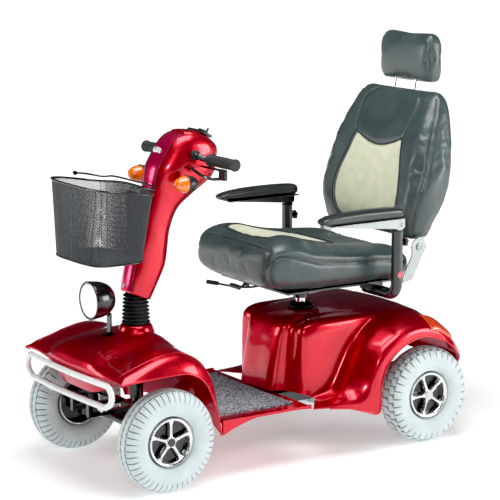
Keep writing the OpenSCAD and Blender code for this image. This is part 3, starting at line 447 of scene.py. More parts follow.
def tyre(name, body, replaced, lugs, ribs, zigzag, blocks, phase):
    """Tyre with grooves round it at `ribs`, and cross grooves between blocks or on the shoulders."""
    centre, side, half_width = wheel_place(replaced)
    cross = [0.0, 0.05, 0.13, 0.18, 0.4, 0.6, 0.8]
    edge = 0.028
    lines = sorted({round(r + k, 4) for r in ribs for k in (-1.7 * edge, -edge, edge, 1.7 * edge)}
                   | {round(s, 4) for s in np.linspace(-1.32, 1.32, 45)})
    plain = [math.radians(d) for d in (92, 102, 112, 122, 131, 137, 140, 143, 150, 160, 170, 180)]
    reach = math.radians(66)
    section = [s * reach for s in lines]
    section = sorted(section + plain + [-t for t in plain[:-1]])
    angles, grooves = [], []
    for k in range(lugs):
        for c in cross:
            angles.append((k + c) * 2 * math.pi / lugs + phase)
            grooves.append(1.0 if c in (0.05, 0.13) else 0.0)
    points, depth = [], []
    for a, cut in zip(angles, grooves):
        wave = zigzag * (1 - 4 * abs(((a - phase) * lugs / (2 * math.pi)) % 1.0 - 0.5))
        for t in section:
            s = t / reach
            window = float(1 - smoothstep(1.0, 1.25, abs(s)))
            shifted = t + wave * window * reach
            row = sum(s > r for r in ribs)
            turn = a + (math.pi / lugs if row % 2 else 0.0)
            ring = max((1.0 for r in ribs if abs(s - r) <= edge * 1.01), default=0.0)
            open_block = blocks or abs(s) > abs(ribs[0]) + edge
            fade = float(1 - smoothstep(1.02, 1.32, abs(s)))
            lateral = cut * fade if open_block else 0.0
            d = max(ring * 0.9, lateral)
            r = TYRE_MID + TYRE_HALF * power(math.cos(shifted), 0.8)
            y = half_width * power(math.sin(shifted), 0.8)
            if abs(abs(t) - math.radians(140)) < 0.01:
                y += 0.0018 * np.sign(y)
            squeeze = 1 - d * TREAD_DEPTH / TYRE_HALF
            r = TYRE_MID + (r - TYRE_MID) * squeeze
            y *= squeeze
            points.append((r * math.cos(turn), y, r * math.sin(turn)))
            depth.append(d)
    n, m = len(angles), len(section)
    points = np.array(points) * (1, side, 1) + centre
    faces = grid_faces(n, m, close_rows=True, close_columns=True)
    obj = piece(name, points, faces, body, TYRE, sharp=48, slot="tyre", replaces=(replaced,))
    attribute = obj.data.attributes.new("groove", "FLOAT", "POINT")
    attribute.data.foreach_set("value", np.array(depth, np.float32))


def spoke_part(angle, to_world):
    """One alloy spoke with a hollow channel along its face, joined to the ring by a flared end."""
    stations = [(0.013, 0.0072, 0.0315), (0.024, 0.0054, 0.0318), (0.04, 0.0047, 0.0312),
                (0.054, 0.0052, 0.0308), (0.063, 0.0072, 0.031), (0.0705, 0.0115, 0.0312)]
    rings = []
    for k in range(15):
        r, w, top = spline_at(stations, k * 5 / 14)
        hollow = 0.0016 * float(smoothstep(0.02, 0.03, r) * (1 - smoothstep(0.06, 0.066, r)))
        half = [(w + 0.001, 0.016), (w, top - 0.0022), (w * 0.82, top - 0.0006), (w * 0.6, top),
                (w * 0.42, top - hollow)]
        outline = [(-w - 0.001, 0.016), *half, *((-u, h) for u, h in half[:0:-1])]
        c, s = math.cos(angle), math.sin(angle)
        rings.append([to_world(r * c - u * s, r * s + u * c, h) for u, h in outline])
    return skin(rings)


def rim(prefix, body, replaced, tyre_node, turn):
    """Five-spoke alloy rim with a black dish behind the spokes and small nuts round the hub."""
    centre, side, _ = wheel_place(tyre_node)
    axis = (0, side, 0)

    def to_world(u, v, h):
        return (centre[0] + u, centre[1] + side * h, centre[2] + v)

    barrel = rounded([(0.0665, 0.012), (0.0672, 0.0275), (0.07, 0.0325), (0.0765, 0.0345),
                      (0.0776, 0.0325), (0.0776, -0.0325), (0.0765, -0.0345), (0.071, -0.033),
                      (0.07, -0.02), (0.067, 0.008)], 0.0012, 3)
    parts = [turned_part(barrel, centre, axis, 96, loop=True)]
    parts += [spoke_part(turn + k * 2 * math.pi / 5, to_world) for k in range(5)]
    hub = rounded([(0.011, 0.012), (0.0185, 0.012), (0.0185, 0.0305), (0.0165, 0.033), (0.0125, 0.033),
                   (0.0115, 0.0295), (0.0098, 0.029)], 0.001, 3)
    parts.append(turned_part(hub, centre, axis, 48, loop=True))
    joined(prefix + "_alloy", parts, body, ALLOY, slot="wheel_metal", replaces=(replaced,))
    dish = [(0.0085, -0.026), (0.024, -0.026), (0.025, -0.008), (0.0665, -0.006), (0.0665, 0.0125),
            (0.045, 0.0105), (0.0085, 0.011)]
    turned(prefix + "_pocket", dish, centre, axis, body, GLOSS_BLACK, 64, loop=True, slot="black_plastic")
    bolts = []
    for k in range(5):
        a = turn + (k + 0.5) * 2 * math.pi / 5
        spot = to_world(0.01512 * math.cos(a), 0.01512 * math.sin(a), 0.0325)
        nut = [(0.0, -0.001), (0.0021, -0.001), (0.0021, 0.0014), (0.0016, 0.002), (0.0, 0.002)]
        bolts.append(turned_part(nut, spot, axis, 6))
    joined(prefix + "_bolts", bolts, body, ZINC, slot="zinc_steel")


def wheels():
    for end, turn, *pattern in (("front", 92, 46, [-0.36, 0.0, 0.36], 0.03, False),
                                ("rear", 70, 34, [-0.62, -0.21, 0.21, 0.62], 0.07, True)):
        for side, phase in (("left", 0.03), ("right", 0.1)):
            tag = f"{end}_{side}"
            tyre("tread_" + tag, "wheel_" + tag, "tyre_" + tag, *pattern, phase)
            rim("rim_" + tag, "wheel_" + tag, "rim_" + tag, "tyre_" + tag, math.radians(turn))


wheels()

# ---------- painted covers ----------

# Each row runs outwards from the centre line: hood, hood edge, valley, fender top, shoulder, lip.
COWL_ROWS = [
    [(.668, 0, .298), (.664, .1, .3), (.652, .16, .32), (.652, .225, .346),
     (.664, .284, .358), (.672, .304, .361)],
    [(.684, 0, .332), (.68, .108, .334), (.664, .168, .344), (.664, .232, .356),
     (.676, .288, .364), (.68, .307, .364)],
    [(.692, 0, .352), (.691, .112, .357), (.682, .172, .361), (.678, .236, .366),
     (.682, .29, .369), (.683, .311, .366)],
    [(.692, 0, .378), (.689, .113, .385), (.68, .172, .377), (.676, .238, .376),
     (.678, .291, .376), (.679, .314, .368)],
    [(.678, 0, .403), (.675, .108, .406), (.66, .17, .396), (.655, .238, .393),
     (.655, .291, .39), (.655, .317, .371)],
    [(.636, 0, .429), (.634, .1, .427), (.623, .165, .411), (.615, .236, .409),
     (.612, .291, .402), (.612, .319, .374)],
    [(.585, 0, .445), (.58, .095, .44), (.574, .16, .423), (.567, .234, .426),
     (.562, .291, .415), (.56, .32, .376)],
    [(.53, 0, .454), (.525, .085, .448), (.519, .155, .434), (.51, .232, .438),
     (.505, .291, .425), (.5, .32, .378)],
    [(.488, 0, .46), (.475, .08, .455), (.466, .15, .442), (.455, .23, .44),
     (.45, .291, .425), (.45, .32, .376)],
    [(.445, 0, .461), (.43, .08, .455), (.42, .15, .438), (.41, .23, .424),
     (.404, .291, .408), (.41, .32, .36)],
    [(.405, 0, .446), (.395, .08, .438), (.384, .15, .416), (.37, .23, .396),
     (.364, .291, .374), (.381, .32, .334)],
    [(.372, 0, .398), (.366, .08, .388), (.355, .15, .362), (.342, .23, .342),
     (.338, .291, .322), (.357, .318, .29)],
    [(.344, 0, .318), (.341, .08, .306), (.334, .15, .286), (.325, .23, .27),
     (.322, .29, .255), (.338, .314, .24)],
    [(.319, 0, .232), (.317, .08, .226), (.314, .15, .216), (.31, .23, .204),
     (.311, .288, .196), (.323, .308, .19)],
    [(.307, 0, .196), (.307, .08, .194), (.306, .15, .19), (.305, .23, .178),
     (.306, .284, .156), (.312, .303, .15)]]

# The rear cover in the same way: panel centre, its edge, flank, box corner, crease, fender, shoulder, lip.
REAR_ROWS = [
    [(-.018, 0, .201), (-.02, .085, .201), (-.062, .112, .201), (-.084, .178, .2),
     (-.122, .203, .186), (-.078, .262, .186), (-.052, .296, .185), (-.047, .302, .182)],
    [(-.028, 0, .27), (-.03, .085, .27), (-.07, .112, .27), (-.086, .18, .262),
     (-.146, .204, .195), (-.13, .264, .189), (-.114, .304, .185), (-.11, .31, .176)],
    [(-.042, 0, .35), (-.044, .085, .35), (-.078, .112, .35), (-.088, .182, .345),
     (-.17, .204, .212), (-.172, .266, .2), (-.178, .312, .187), (-.186, .318, .166)],
    [(-.06, 0, .418), (-.062, .088, .416), (-.088, .116, .412), (-.096, .184, .405),
     (-.192, .204, .242), (-.206, .268, .228), (-.226, .32, .194), (-.24, .326, .15)],
    [(-.1, 0, .444), (-.104, .09, .441), (-.128, .12, .437), (-.14, .188, .428),
     (-.222, .204, .296), (-.236, .268, .272), (-.257, .325, .22), (-.296, .333, .14)],
    [(-.18, 0, .452), (-.184, .092, .449), (-.2, .125, .446), (-.21, .19, .434),
     (-.264, .205, .356), (-.262, .268, .322), (-.272, .327, .264), (-.3, .338, .228)],
    [(-.28, 0, .453), (-.282, .095, .45), (-.286, .13, .447), (-.292, .191, .437),
     (-.31, .207, .397), (-.294, .27, .364), (-.289, .328, .312), (-.318, .338, .287)],
    [(-.355, 0, .453), (-.356, .095, .45), (-.358, .132, .448), (-.36, .192, .441),
     (-.362, .214, .428), (-.345, .271, .4), (-.326, .328, .357), (-.352, .338, .327)],
    [(-.425, 0, .452), (-.425, .095, .45), (-.425, .133, .448), (-.424, .193, .443),
     (-.422, .218, .437), (-.405, .272, .424), (-.386, .328, .393), (-.402, .338, .359)],
    [(-.49, 0, .451), (-.49, .095, .449), (-.489, .133, .447), (-.487, .193, .444),
     (-.484, .219, .44), (-.475, .272, .432), (-.465, .328, .409), (-.473, .338, .377)],
    [(-.545, 0, .445), (-.545, .095, .443), (-.544, .133, .441), (-.542, .193, .438),
     (-.54, .218, .434), (-.54, .271, .421), (-.54, .327, .395), (-.537, .338, .364)],
    [(-.592, 0, .414), (-.592, .095, .412), (-.591, .132, .41), (-.589, .192, .407),
     (-.588, .216, .403), (-.592, .267, .388), (-.597, .322, .36), (-.588, .338, .338)],
    [(-.637, 0, .374), (-.637, .094, .372), (-.636, .131, .37), (-.634, .19, .367),
     (-.633, .213, .363), (-.636, .26, .35), (-.636, .311, .326), (-.624, .33, .308)],
    [(-.676, 0, .334), (-.676, .093, .332), (-.675, .128, .33), (-.674, .186, .327),
     (-.673, .208, .323), (-.672, .25, .313), (-.667, .292, .299), (-.654, .306, .29)],
    [(-.706, 0, .294), (-.706, .092, .293), (-.705, .126, .292), (-.704, .182, .29),
     (-.703, .203, .288), (-.7, .24, .284), (-.692, .27, .279), (-.68, .282, .274)],
    [(-.72, 0, .265), (-.72, .092, .265), (-.719, .125, .264), (-.717, .18, .263),
     (-.715, .2, .262), (-.711, .23, .26), (-.702, .254, .258), (-.692, .264, .256)],
    [(-.712, 0, .238), (-.712, .092, .238), (-.711, .125, .238), (-.709, .18, .238),
     (-.707, .198, .237), (-.703, .226, .236), (-.697, .244, .236), (-.692, .252, .236)]]


def mirrored(row):
    return [(x, -y, z) for x, y, z in row[:0:-1]] + list(row)


def patch(rows, u_range, v_range, steps_u, steps_v):
    """Part of the smooth surface through the rows. u counts rows, v counts columns out from the middle."""
    half = len(rows[0]) - 1
    columns = np.linspace(v_range[0], v_range[1], steps_v + 1) + half
    across = [[spline_at(mirrored(row), v) for v in columns] for row in rows]
    return np.array([[spline_at([row[j] for row in across], u) for j in range(steps_v + 1)]
                     for u in np.linspace(u_range[0], u_range[1], steps_u + 1)])


def normals(grid):
    du = np.gradient(grid, axis=0)
    dv = np.gradient(grid, axis=1)
    across = np.cross(dv, du)
    return across / np.linalg.norm(across, axis=2)[:, :, None]


def shell(name, grid, thickness, body, material, drop=None, **options):
    """Closed thin shell: the grid, its inner copy, and a rolled rim between them."""
    n, m = grid.shape[:2]
    inner = grid - thickness * normals(grid)
    points = np.concatenate([grid.reshape(-1, 3), inner.reshape(-1, 3)])
    faces = [f[::-1] for f in grid_faces(n, m)]
    if drop:
        faces = [f for f in faces if not drop(points[list(f)].mean(0))]
    edges = dict.fromkeys(pair for f in faces for pair in zip(f, f[1:] + f[:1]))
    rim_edges = [e for e in edges if (e[1], e[0]) not in edges]
    size = n * m
    faces = faces + [tuple(i + size for i in f[::-1]) for f in faces]
    faces += [(b, a, a + size, b + size) for a, b in rim_edges]
    used = sorted({i for f in faces for i in f})
    place = {old: new for new, old in enumerate(used)}
    faces = [tuple(place[i] for i in f) for f in faces]
    return piece(name, points[used], faces, body, material, **options)


def bead(name, line, radius):
    """Rolled edge or crease of a painted cover."""
    tube(name, line, radius, "chassis", RED, sides=10, slot="red_paint")


STEER_X = 0.445
POST_X = -0.208


def front_cover():
    grid = patch(COWL_ROWS, (0, 14), (-5, 5), 130, 100)
    shell("front_cover", grid, 0.0038, "chassis", RED, sharp=55, slot="red_paint", replaces=("front_cowl",),
          drop=lambda p: math.hypot(p[0] - STEER_X, p[1]) < 0.031 and p[2] > 0.4)
    collar = rounded([(0.038, 0.446), (0.062, 0.446), (0.0575, 0.458), (0.053, 0.4695), (0.0475, 0.4755),
                      (0.0405, 0.4755), (0.04, 0.452)], 0.004, 4)
    turned("boot_collar", collar, (STEER_X, 0, 0), (0, 0, 1), "chassis", RED, 72, loop=True, slot="red_paint")
    for side, s in SIDES.items():
        line = patch(COWL_ROWS, (0, 14), (4.999 * s, 5 * s), 120, 1)[:, 1]
        bead("fender_bead_" + side, line, 0.0034)
        crease = patch(COWL_ROWS, (3.2, 13.6), (3.62 * s, 3.63 * s), 90, 1)[:, 0]
        bead("fender_crease_" + side, crease - (0, 0, 0.0004), 0.0019)


def rear_cover():
    grid = patch(REAR_ROWS, (0, 16), (-7, 7), 150, 128)
    shell("rear_cover", grid, 0.0038, "chassis", RED, sharp=55, slot="red_paint", replaces=("rear_body",),
          drop=lambda p: math.hypot(p[0] - POST_X, p[1]) < 0.034 and p[2] > 0.4)
    for side, s in SIDES.items():
        line = patch(REAR_ROWS, (1, 16), (6.999 * s, 7 * s), 130, 1)[:, 1]
        bead("arch_bead_" + side, line, 0.0034)
        panel = patch(REAR_ROWS, (0.1, 4.4), (1.42 * s, 1.43 * s), 50, 1)[:, 0]
        bead("box_bead_" + side, panel, 0.0026)
        lamp = patch(REAR_ROWS, (9.55, 11.25), (4.85 * s, 6.35 * s), 26, 20)
        # On the right the columns run inwards, so they are turned round to keep the normals pointing out.
        if s < 0:
            lamp = lamp[:, ::-1]
        u = np.linspace(-1, 1, lamp.shape[0])[:, None]
        v = np.linspace(-1, 1, lamp.shape[1])[None, :]
        swell = 0.003 + 0.009 * (1 - u**4) * (1 - v**4)
        points = lamp + normals(lamp) * swell[:, :, None]
        shell("tail_lens_" + side, points, 0.005, "chassis", TAIL, slot="red_lens",
              replaces=("tail_lamps",) if side == "left" else ())


def badge(name, centre, normal, along, size, body):
    """Blank oval badge with a raised edge, set on a surface."""
    normal = Vector(normal).normalized()
    along = (Vector(along) - normal * Vector(along).dot(normal)).normalized()
    across = normal.cross(along)
    rings = []
    for share, height in ((1.0, -0.002), (1.0, 0.0012), (0.95, 0.0022), (0.86, 0.0022), (0.82, 0.0014),
                          (0.3, 0.0018)):
        rings.append([Vector(centre) + along * (size[0] * share * math.cos(a))
                      + across * (size[1] * share * math.sin(a)) + normal * height
                      for a in np.arange(48) * 2 * math.pi / 48])
    loft(name, rings, body, BADGE, slot="white_paint")


front_cover()
rear_cover()

# ---------- tiller ----------

# Rear point, front point and half width of the tiller cover, from the bottom up.
TILLER_ROWS = [
    (.401, .555, .49, .589, .047), (.372, .61, .481, .636, .051), (.346, .664, .468, .69, .053),
    (.337, .72, .453, .75, .054), (.328, .778, .436, .815, .054), (.299, .843, .417, .872, .058),
    (.243, .888, .404, .917, .066), (.19, .922, .396, .955, .075), (.161, .952, .387, .986, .08),
    (.151, 1.0, .366, 1.02, .08), (.151, 1.034, .343, 1.054, .077), (.18, 1.064, .318, 1.076, .068),
    (.212, 1.082, .292, 1.088, .052)]
PANEL_T = 0.009
# Exponent of the superellipse that the tiller's sections follow.
TILLER_POWER = 2.6
DASH_PLACE = Vector((0.198, 0.0, 1.079))
DASH_LEAN = math.radians(27)
BAR_X, BAR_Z = 0.238, 1.007


def tiller_section(s):
    rear_x, rear_z, front_x, front_z, w = spline_at(TILLER_ROWS, s)
    rear, front = np.array([rear_x, 0, rear_z]), np.array([front_x, 0, front_z])
    depth = np.linalg.norm(front - rear) / 2
    return (rear + front) / 2, depth, w, (front - rear) / (2 * depth)


def cover_ring(s, inset, count):
    """Ring of the tiller cover, flat in front where the panel lies."""
    mid, d, w, forward = tiller_section(s)
    flat = superellipse(d - inset, w - inset, TILLER_POWER, count)
    ahead = np.minimum(flat[:, 0], d - PANEL_T - inset)
    return mid + ahead[:, None] * forward + flat[:, 1:] * np.array([0, 1, 0])


def panel_edge(d, w, gap):
    """Where the front panel ends: its depth, the angle of its edge and its half width there."""
    depth = d - PANEL_T + gap
    edge = math.acos((depth / d) ** (TILLER_POWER / 2))
    return depth, edge, w * math.sin(edge) ** (2 / TILLER_POWER)


def panel_ring(s, shrink=1.0, lift=0.0):
    """Ring of the front panel: its bulge in 28 steps and its flat back in 8."""
    mid, d, w, forward = tiller_section(s)
    up = np.cross(forward, (0, 1, 0))
    up = up if up[2] > 0 else -up
    cut, edge, half = panel_edge(d, w, 0.0006)
    t = np.linspace(-edge, edge, 29)
    bulge = np.stack([d * power(np.cos(t), 2 / TILLER_POWER), w * power(np.sin(t), 2 / TILLER_POWER)], 1)
    bulge[:, 0] = cut + (bulge[:, 0] - cut) * shrink
    back = np.stack([np.full(7, cut), half * (1 - 2 * np.arange(1, 8) / 8)], 1)
    flat = np.concatenate([bulge, back])
    return mid + flat[:, :1] * forward + flat[:, 1:] * np.array([0, 1, 0]) + lift * up


def tiller_shells():
    span = len(TILLER_ROWS) - 1
    steps, count = 96, 96
    outer = [cover_ring(span * k / steps, 0, count) for k in range(steps + 1)]
    lip = [cover_ring(0.0, inset, count) - (0, 0, drop)
           for inset, drop in ((0.0042, 0.0), (0.0036, 0.0018), (0.0012, 0.0024))]
    inner = [cover_ring(span * k / steps, 0.0042, count) for k in range(steps - 8, 0, -4)]
    ring = outer[-1]
    centre = ring.mean(0)
    dome = []
    for k in range(1, 8):
        a = k / 8 * math.pi / 2
        rise = np.array([0.0008, 0, 0.009]) * math.sin(a)
        dome.append(centre + (ring - centre) * math.cos(a) ** 0.8 + rise)
    rings = inner + lip + outer + dome
    loft("tiller_cover_skin", rings, "tiller", RED, sharp=50, slot="red_paint", replaces=("tiller_cover",))
    first, final = 0.14, span - 0.35
    panel = [panel_ring(first, k) for k in (0.3, 0.85)]
    panel += [panel_ring(first + (final - first) * k / steps) for k in range(steps + 1)]
    panel += [panel_ring(final, k, 0.0005) for k in (0.85, 0.3)]
    # The front panel takes the pinker copy of the paint: painted reflection.
    loft("tiller_front_skin", panel, "tiller", RED_WITH_PAINTED_SHEEN, sharp=50, slot="red_paint",
         replaces=("tiller_front_panel",))
    for side, s in SIDES.items():
        seam = []
        for k in range(91):
            mid, d, w, forward = tiller_section(first + (final - first) * k / 90)
            cut, _, half = panel_edge(d, w, 0.0003)
            seam.append(mid + cut * forward + np.array([0, s * (half - 0.0004), 0]))
        # A thin black tube along each edge of the front panel: painted shade, standing in for the dark gap
        # between panel and cover.
        tube("panel_gap_shade_" + side, seam, 0.0013, "tiller", BLACK, sides=8, slot="black_plastic")
    mid, d, w, forward = tiller_section(9.35)
    badge("tiller_badge", mid + forward * (d + 0.0012), forward, (0, 1, 0), (0.024, 0.013), "tiller")
    mid, d, w, forward = tiller_section(0.45)
    lock = [(0, 0), (0.0075, 0), (0.0075, 0.003), (0.006, 0.0042), (0.003, 0.0042), (0.003, 0.002),
            (0, 0.002)]
    turned("panel_lock", lock, mid + forward * (d - 0.001), forward, "tiller", ZINC, 32, slot="key_metal")


def on_dash(x, y, z=0.0):
    """Point on the dash: x runs towards the front, y to the left and z out of its face."""
    c, s = math.cos(DASH_LEAN), math.sin(DASH_LEAN)
    return DASH_PLACE + Vector((x * c - z * s, y, x * s + z * c))


DASH_NORMAL = (-math.sin(DASH_LEAN), 0, math.cos(DASH_LEAN))


def dash():
    """Dash face with its dial marks, charge lamps and speed knob."""
    bezel = []
    for grow, z in ((0, -0.004), (0, 0.0028), (-0.0012, 0.0038), (-0.004, 0.0038), (-0.005, 0.0026)):
        bezel.append([on_dash(x, y, z) for x, y in superellipse(0.0285 + grow, 0.0445 + grow, 5, 64)])
    loft("dash_face", bezel, "tiller", BLACK, slot="black_plastic", replaces=("dash_panel",))
    ticks = []
    for k in range(11):
        a = math.radians(-140 + 28 * k)
        inner, outer = 0.0152, 0.0182 if k % 5 else 0.0192
        ends = [on_dash(-0.006 + r * math.cos(a), r * math.sin(a), 0.0029) for r in (inner, outer)]
        ticks.append(tube_part(ends, 0.00045, 6))
    joined("dial_marks", ticks, "tiller", BADGE, slot="white_paint")
    lamp = [(0, 0), (0.0016, 0), (0.0015, 0.0009), (0, 0.0013)]
    gauge = [turned_part(lamp, on_dash(0.0175, 0.0225 - 0.005 * k, 0.0026), DASH_NORMAL, 12)
             for k in range(10)]
    joined("charge_lamps", gauge, "tiller", AMBER, slot="amber_lens")
    knob = [(0, 0.0036), (0.0112, 0.0036), (0.0128, 0.005), (0.0128, 0.0118), (0.0108, 0.0133),
            (0.004, 0.0124), (0, 0.0124)]
    dial = turned_part(knob, on_dash(-0.006, 0), DASH_NORMAL, 48)
    ribs = []
    for k in range(20):
        a = k * 2 * math.pi / 20
        spot = [on_dash(-0.006 + 0.0129 * math.cos(a), 0.0129 * math.sin(a), z) for z in (0.0055, 0.0115)]
        ribs.append(tube_part(spot, 0.0008, 6))
    pointer = tube_part([on_dash(-0.003, 0, 0.0129), on_dash(0.005, 0, 0.0134)], 0.0009, 6)
    joined("speed_knob", [dial, *ribs], "speed_knob", BLACK, slot="dial_red", replaces=("speed_dial",))
    joined("speed_pointer", [pointer], "speed_knob", BADGE, slot="dial_red")


def handlebar_grips():
    """Ribbed grips, and the indicator on its ring beside each of them."""
    low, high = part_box("indicator_lenses")
    lens_z = (low[2] + high[2]) / 2
    for side, s in SIDES.items():
        profile = [(0.0112, 0.128), (0.0205, 0.128), (0.0212, 0.1295), (0.0212, 0.1335), (0.0202, 0.1355)]
        y = 0.139
        while y < 0.262:
            swell = 0.0162 + 0.0012 * math.sin((y - 0.139) / 0.123 * math.pi)
            ridge = swell + 0.0009
            profile += [(swell, y), (ridge, y + 0.0012), (ridge, y + 0.0034), (swell, y + 0.0046)]
            y += 0.0062
        profile += [(0.0185, 0.266), (0.0198, 0.268), (0.0198, 0.272), (0.0182, 0.2746), (0.006, 0.2751),
                    (0.0, 0.2751)]
        turned("grip_" + side, profile, (BAR_X, 0, BAR_Z), (0, s, 0), "tiller", RUBBER, 48,
               slot="black_rubber", replaces=("grips",) if side == "left" else ())
        place = (0.3384, s * 0.143, lens_z)
        lens = [(0, 0), (0.027, 0)]
        for k, a in enumerate(np.linspace(0, math.pi / 2, 22)[1:-1]):
            lens.append((0.027 * math.cos(a) + 0.0004 * (k % 2), 0.046 * math.sin(a)))
        lens.append((0, 0.046))
        turned("indicator_" + side, lens, place, (1, 0, 0), "tiller", AMBER, 48, slot="amber_lens", sharp=60,
               replaces=("indicator_lenses",) if side == "left" else ())
        ring = [(0.0262, -0.003), (0.0286, -0.003), (0.0292, 0.0008), (0.0282, 0.0028), (0.0262, 0.0028)]
        turned("indicator_ring_" + side, ring, place, (1, 0, 0), "tiller", BLACK, 48, loop=True,
               slot="black_plastic")


def boot():
    """Ribbed bellows between the steering head and the tiller."""
    ribs, low, high = 8, 0.4765, 0.576
    pitch = (high - low) / ribs
    profile = []
    for k in range(ribs):
        z = low + k * pitch
        swell = 0.0445 - 0.0055 * (k + 0.5) / ribs
        for share, out in ((0.0, -0.0068), (0.1, -0.0064), (0.36, -0.0008), (0.46, 0.0024), (0.54, 0.0024),
                           (0.64, -0.0008), (0.9, -0.0064)):
            profile.append((swell + out, z + share * pitch))
    profile += [(0.0345, high), (0.0325, high), (0.0325, low), (0.038, low - 0.0008)]
    obj = turned("bellows", profile, (STEER_X, 0, 0), (0, 0, 1), None, RUBBER, 72, loop=True,
                 slot="black_rubber", replaces=("steering_boot",), sharp=70)
    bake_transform(obj)


tiller_shells()
dash()
handlebar_grips()
boot()

# ---------- basket ----------

BASKET_HALF, BASKET_FLOOR, BASKET_RIM = 0.197, 0.706, 0.95


def basket_ring(h, inset, count):
    """Outline of the basket at a share of its height: 0 is the floor and 1 the rim."""
    half = BASKET_HALF - 0.044 * (1 - h) - inset
    depth = 0.107 - 0.007 * (1 - h) - inset
    flat = superellipse(depth, half, 4, count)
    x = 0.565 + 0.013 * (1 - h) + flat[:, 0]
    rearward = ((depth - flat[:, 0]) / (2 * depth)) ** 1.5
    dip = 0.034 * h * rearward * (1 - 0.55 * (1 - (np.abs(flat[:, 1]) / half) ** 2))
    z = BASKET_FLOOR + h * (BASKET_RIM - BASKET_FLOOR - dip)
    return np.stack([x, flat[:, 1], z], 1)


def even_ring(h, inset, count):
    """The same outline with its points the same distance apart."""
    ring = basket_ring(h, inset, 720)
    loop = np.vstack([ring, ring[:1]])
    along = np.concatenate([[0], np.cumsum(np.linalg.norm(np.diff(loop, axis=0), axis=1))])
    spots = np.arange(count) / count * along[-1]
    return np.stack([np.interp(spots, along, loop[:, k]) for k in range(3)], 1)


def basket():
    """Expanded-metal mesh of fine diamonds, with a rolled rim, a floor frame and corner wires."""
    columns, rows = 210, 44
    levels = np.linspace(0.006, 0.985, rows + 1)
    rings = []
    for i, h in enumerate(levels):
        ring = even_ring(h, 0.0016, columns * 2)
        rings.append(ring[(i % 2)::2])
    points = np.concatenate(rings)
    faces = []
    for i in range(rows):
        for j in range(columns):
            a = i * columns + j
            b = i * columns + (j + 1) % columns
            c = (i + 1) * columns + j
            d = (i + 1) * columns + (j + 1) % columns
            faces += [(a, b, d if i % 2 else c), (a, d, c) if i % 2 else (b, d, c)]
    wall = piece("basket_mesh", points, faces, "tiller", WIRE, sharp=0, slot="basket_mesh",
                 replaces=("basket",))
    add_modifier(wall, "WIREFRAME", thickness=0.0019, use_even_offset=False, use_boundary=True)
    base = even_ring(0.004, 0.0024, columns * 2)[::2]
    grid, cells = [], []
    pitch = 0.0062
    nx, ny = 34, 52
    place = {}
    centre = base.mean(0)
    for i in range(nx + 1):
        for j in range(ny + 1):
            x = centre[0] + (i - nx / 2) * pitch
            y = (j - ny / 2 + 0.5 * (i % 2)) * pitch
            if (abs(x - centre[0]) / 0.0975) ** 4 + (abs(y) / 0.15) ** 4 < 1:
                place[(i, j)] = len(grid)
                grid.append((x, y, BASKET_FLOOR + 0.0015))
    for i in range(nx):
        for j in range(ny):
            odd = i % 2
            for corners in (((i, j), (i, j + 1), (i + 1, j + odd)),
                            ((i, j + 1 - odd), (i + 1, j + 1), (i + 1, j))):
                if all(c in place for c in corners):
                    cells.append(tuple(place[c] for c in corners))
    floor = piece("basket_floor", grid, cells, "tiller", WIRE, sharp=0, slot="basket_mesh")
    add_modifier(floor, "WIREFRAME", thickness=0.0012, use_even_offset=False, use_boundary=True)
    rim = basket_ring(0.99, -0.0006, 120)
    low = basket_ring(0.006, 0.0, 100)
    parts = [tube_part(rim, 0.0036, 12, closed=True), tube_part(low, 0.0026, 10, closed=True)]
    for share in (0.0, 0.5):
        ring = [basket_ring(h, 0.0008, 8)[int(share * 8)] for h in np.linspace(0.0, 0.99, 12)]
        parts.append(tube_part(ring, 0.0012, 6))
    corners = [basket_ring(h, 0.001, 96) for h in np.linspace(0.0, 0.985, 14)]
    for index in (8, 12, 36, 40, 56, 60, 84, 88):
        parts.append(tube_part([ring[index] for ring in corners], 0.00115, 6))
    joined("basket_frame", parts, "tiller", GLOSS_BLACK, slot="basket_mesh")


basket()

# ---------- headlight and bumper ----------

LAMP = np.array([0.617, 0.0, 0.571])


def headlight():
    bezel = rounded([(0.0535, -0.0165), (0.0555, 0.0005), (0.0585, 0.0042), (0.0618, 0.0022),
                     (0.0622, -0.008), (0.0602, -0.0105)], 0.002, 4)
    turned("lamp_bezel", bezel, LAMP, (1, 0, 0), "chassis", GLOSS_BLACK, 72, loop=True, slot="black_plastic")
    reflector = [(0.0545, -0.0045), (0.05, -0.0085), (0.04, -0.0135), (0.028, -0.0168), (0.012, -0.0183),
                 (0.0, -0.0185)]
    turned("lamp_reflector", reflector, LAMP, (1, 0, 0), "chassis", CHROME, 72, slot="chrome")
    mat, tree, bsdf = shader("lamp_glass", (0.9, 0.93, 0.93), 0.12, 0.0, **{
        "Coat Weight": 1.0, "Coat Roughness": 0.03, "Emission Color": (1, 1, 1, 1),
        "Emission Strength": 0.15})
    waves = add(tree, "TexWave", {"bands_direction": "Y"}, Vector=object_space(tree), Scale=34.0,
                Distortion=0.8)
    flutes = waves.outputs["Fac"]
    bump(tree, bsdf, flutes, 0.5, 0.002)
    vary_roughness(tree, bsdf, noise(tree, 40.0), 0.08, 0.2)
    tint(tree, bsdf, flutes, (0.95, 0.97, 0.96), (0.86, 0.89, 0.89))
    lens = [(0.0, -0.004), (0.0552, -0.004), (0.0556, -0.001)]
    lens += [(0.0556 * math.cos(a), 0.0075 * math.sin(a)) for a in np.linspace(0.1, math.pi / 2, 16)[:-1]]
    lens.append((0.0, 0.0075))
    turned("lamp_lens", lens, LAMP, (1, 0, 0), "chassis", mat, 96, slot="clear_lens",
           replaces=("headlight_lens",))
    screw = [(0, 0), (0.003, 0), (0.003, 0.0012), (0.0018, 0.002), (0, 0.002)]
    screws = [turned_part(screw, LAMP + (-0.001, 0.0598 * math.cos(a), 0.0598 * math.sin(a)), (1, 0, 0), 12)
              for a in (0.6, 2.7, 4.8)]
    joined("lamp_screws", screws, "chassis", ZINC, slot="zinc_steel")


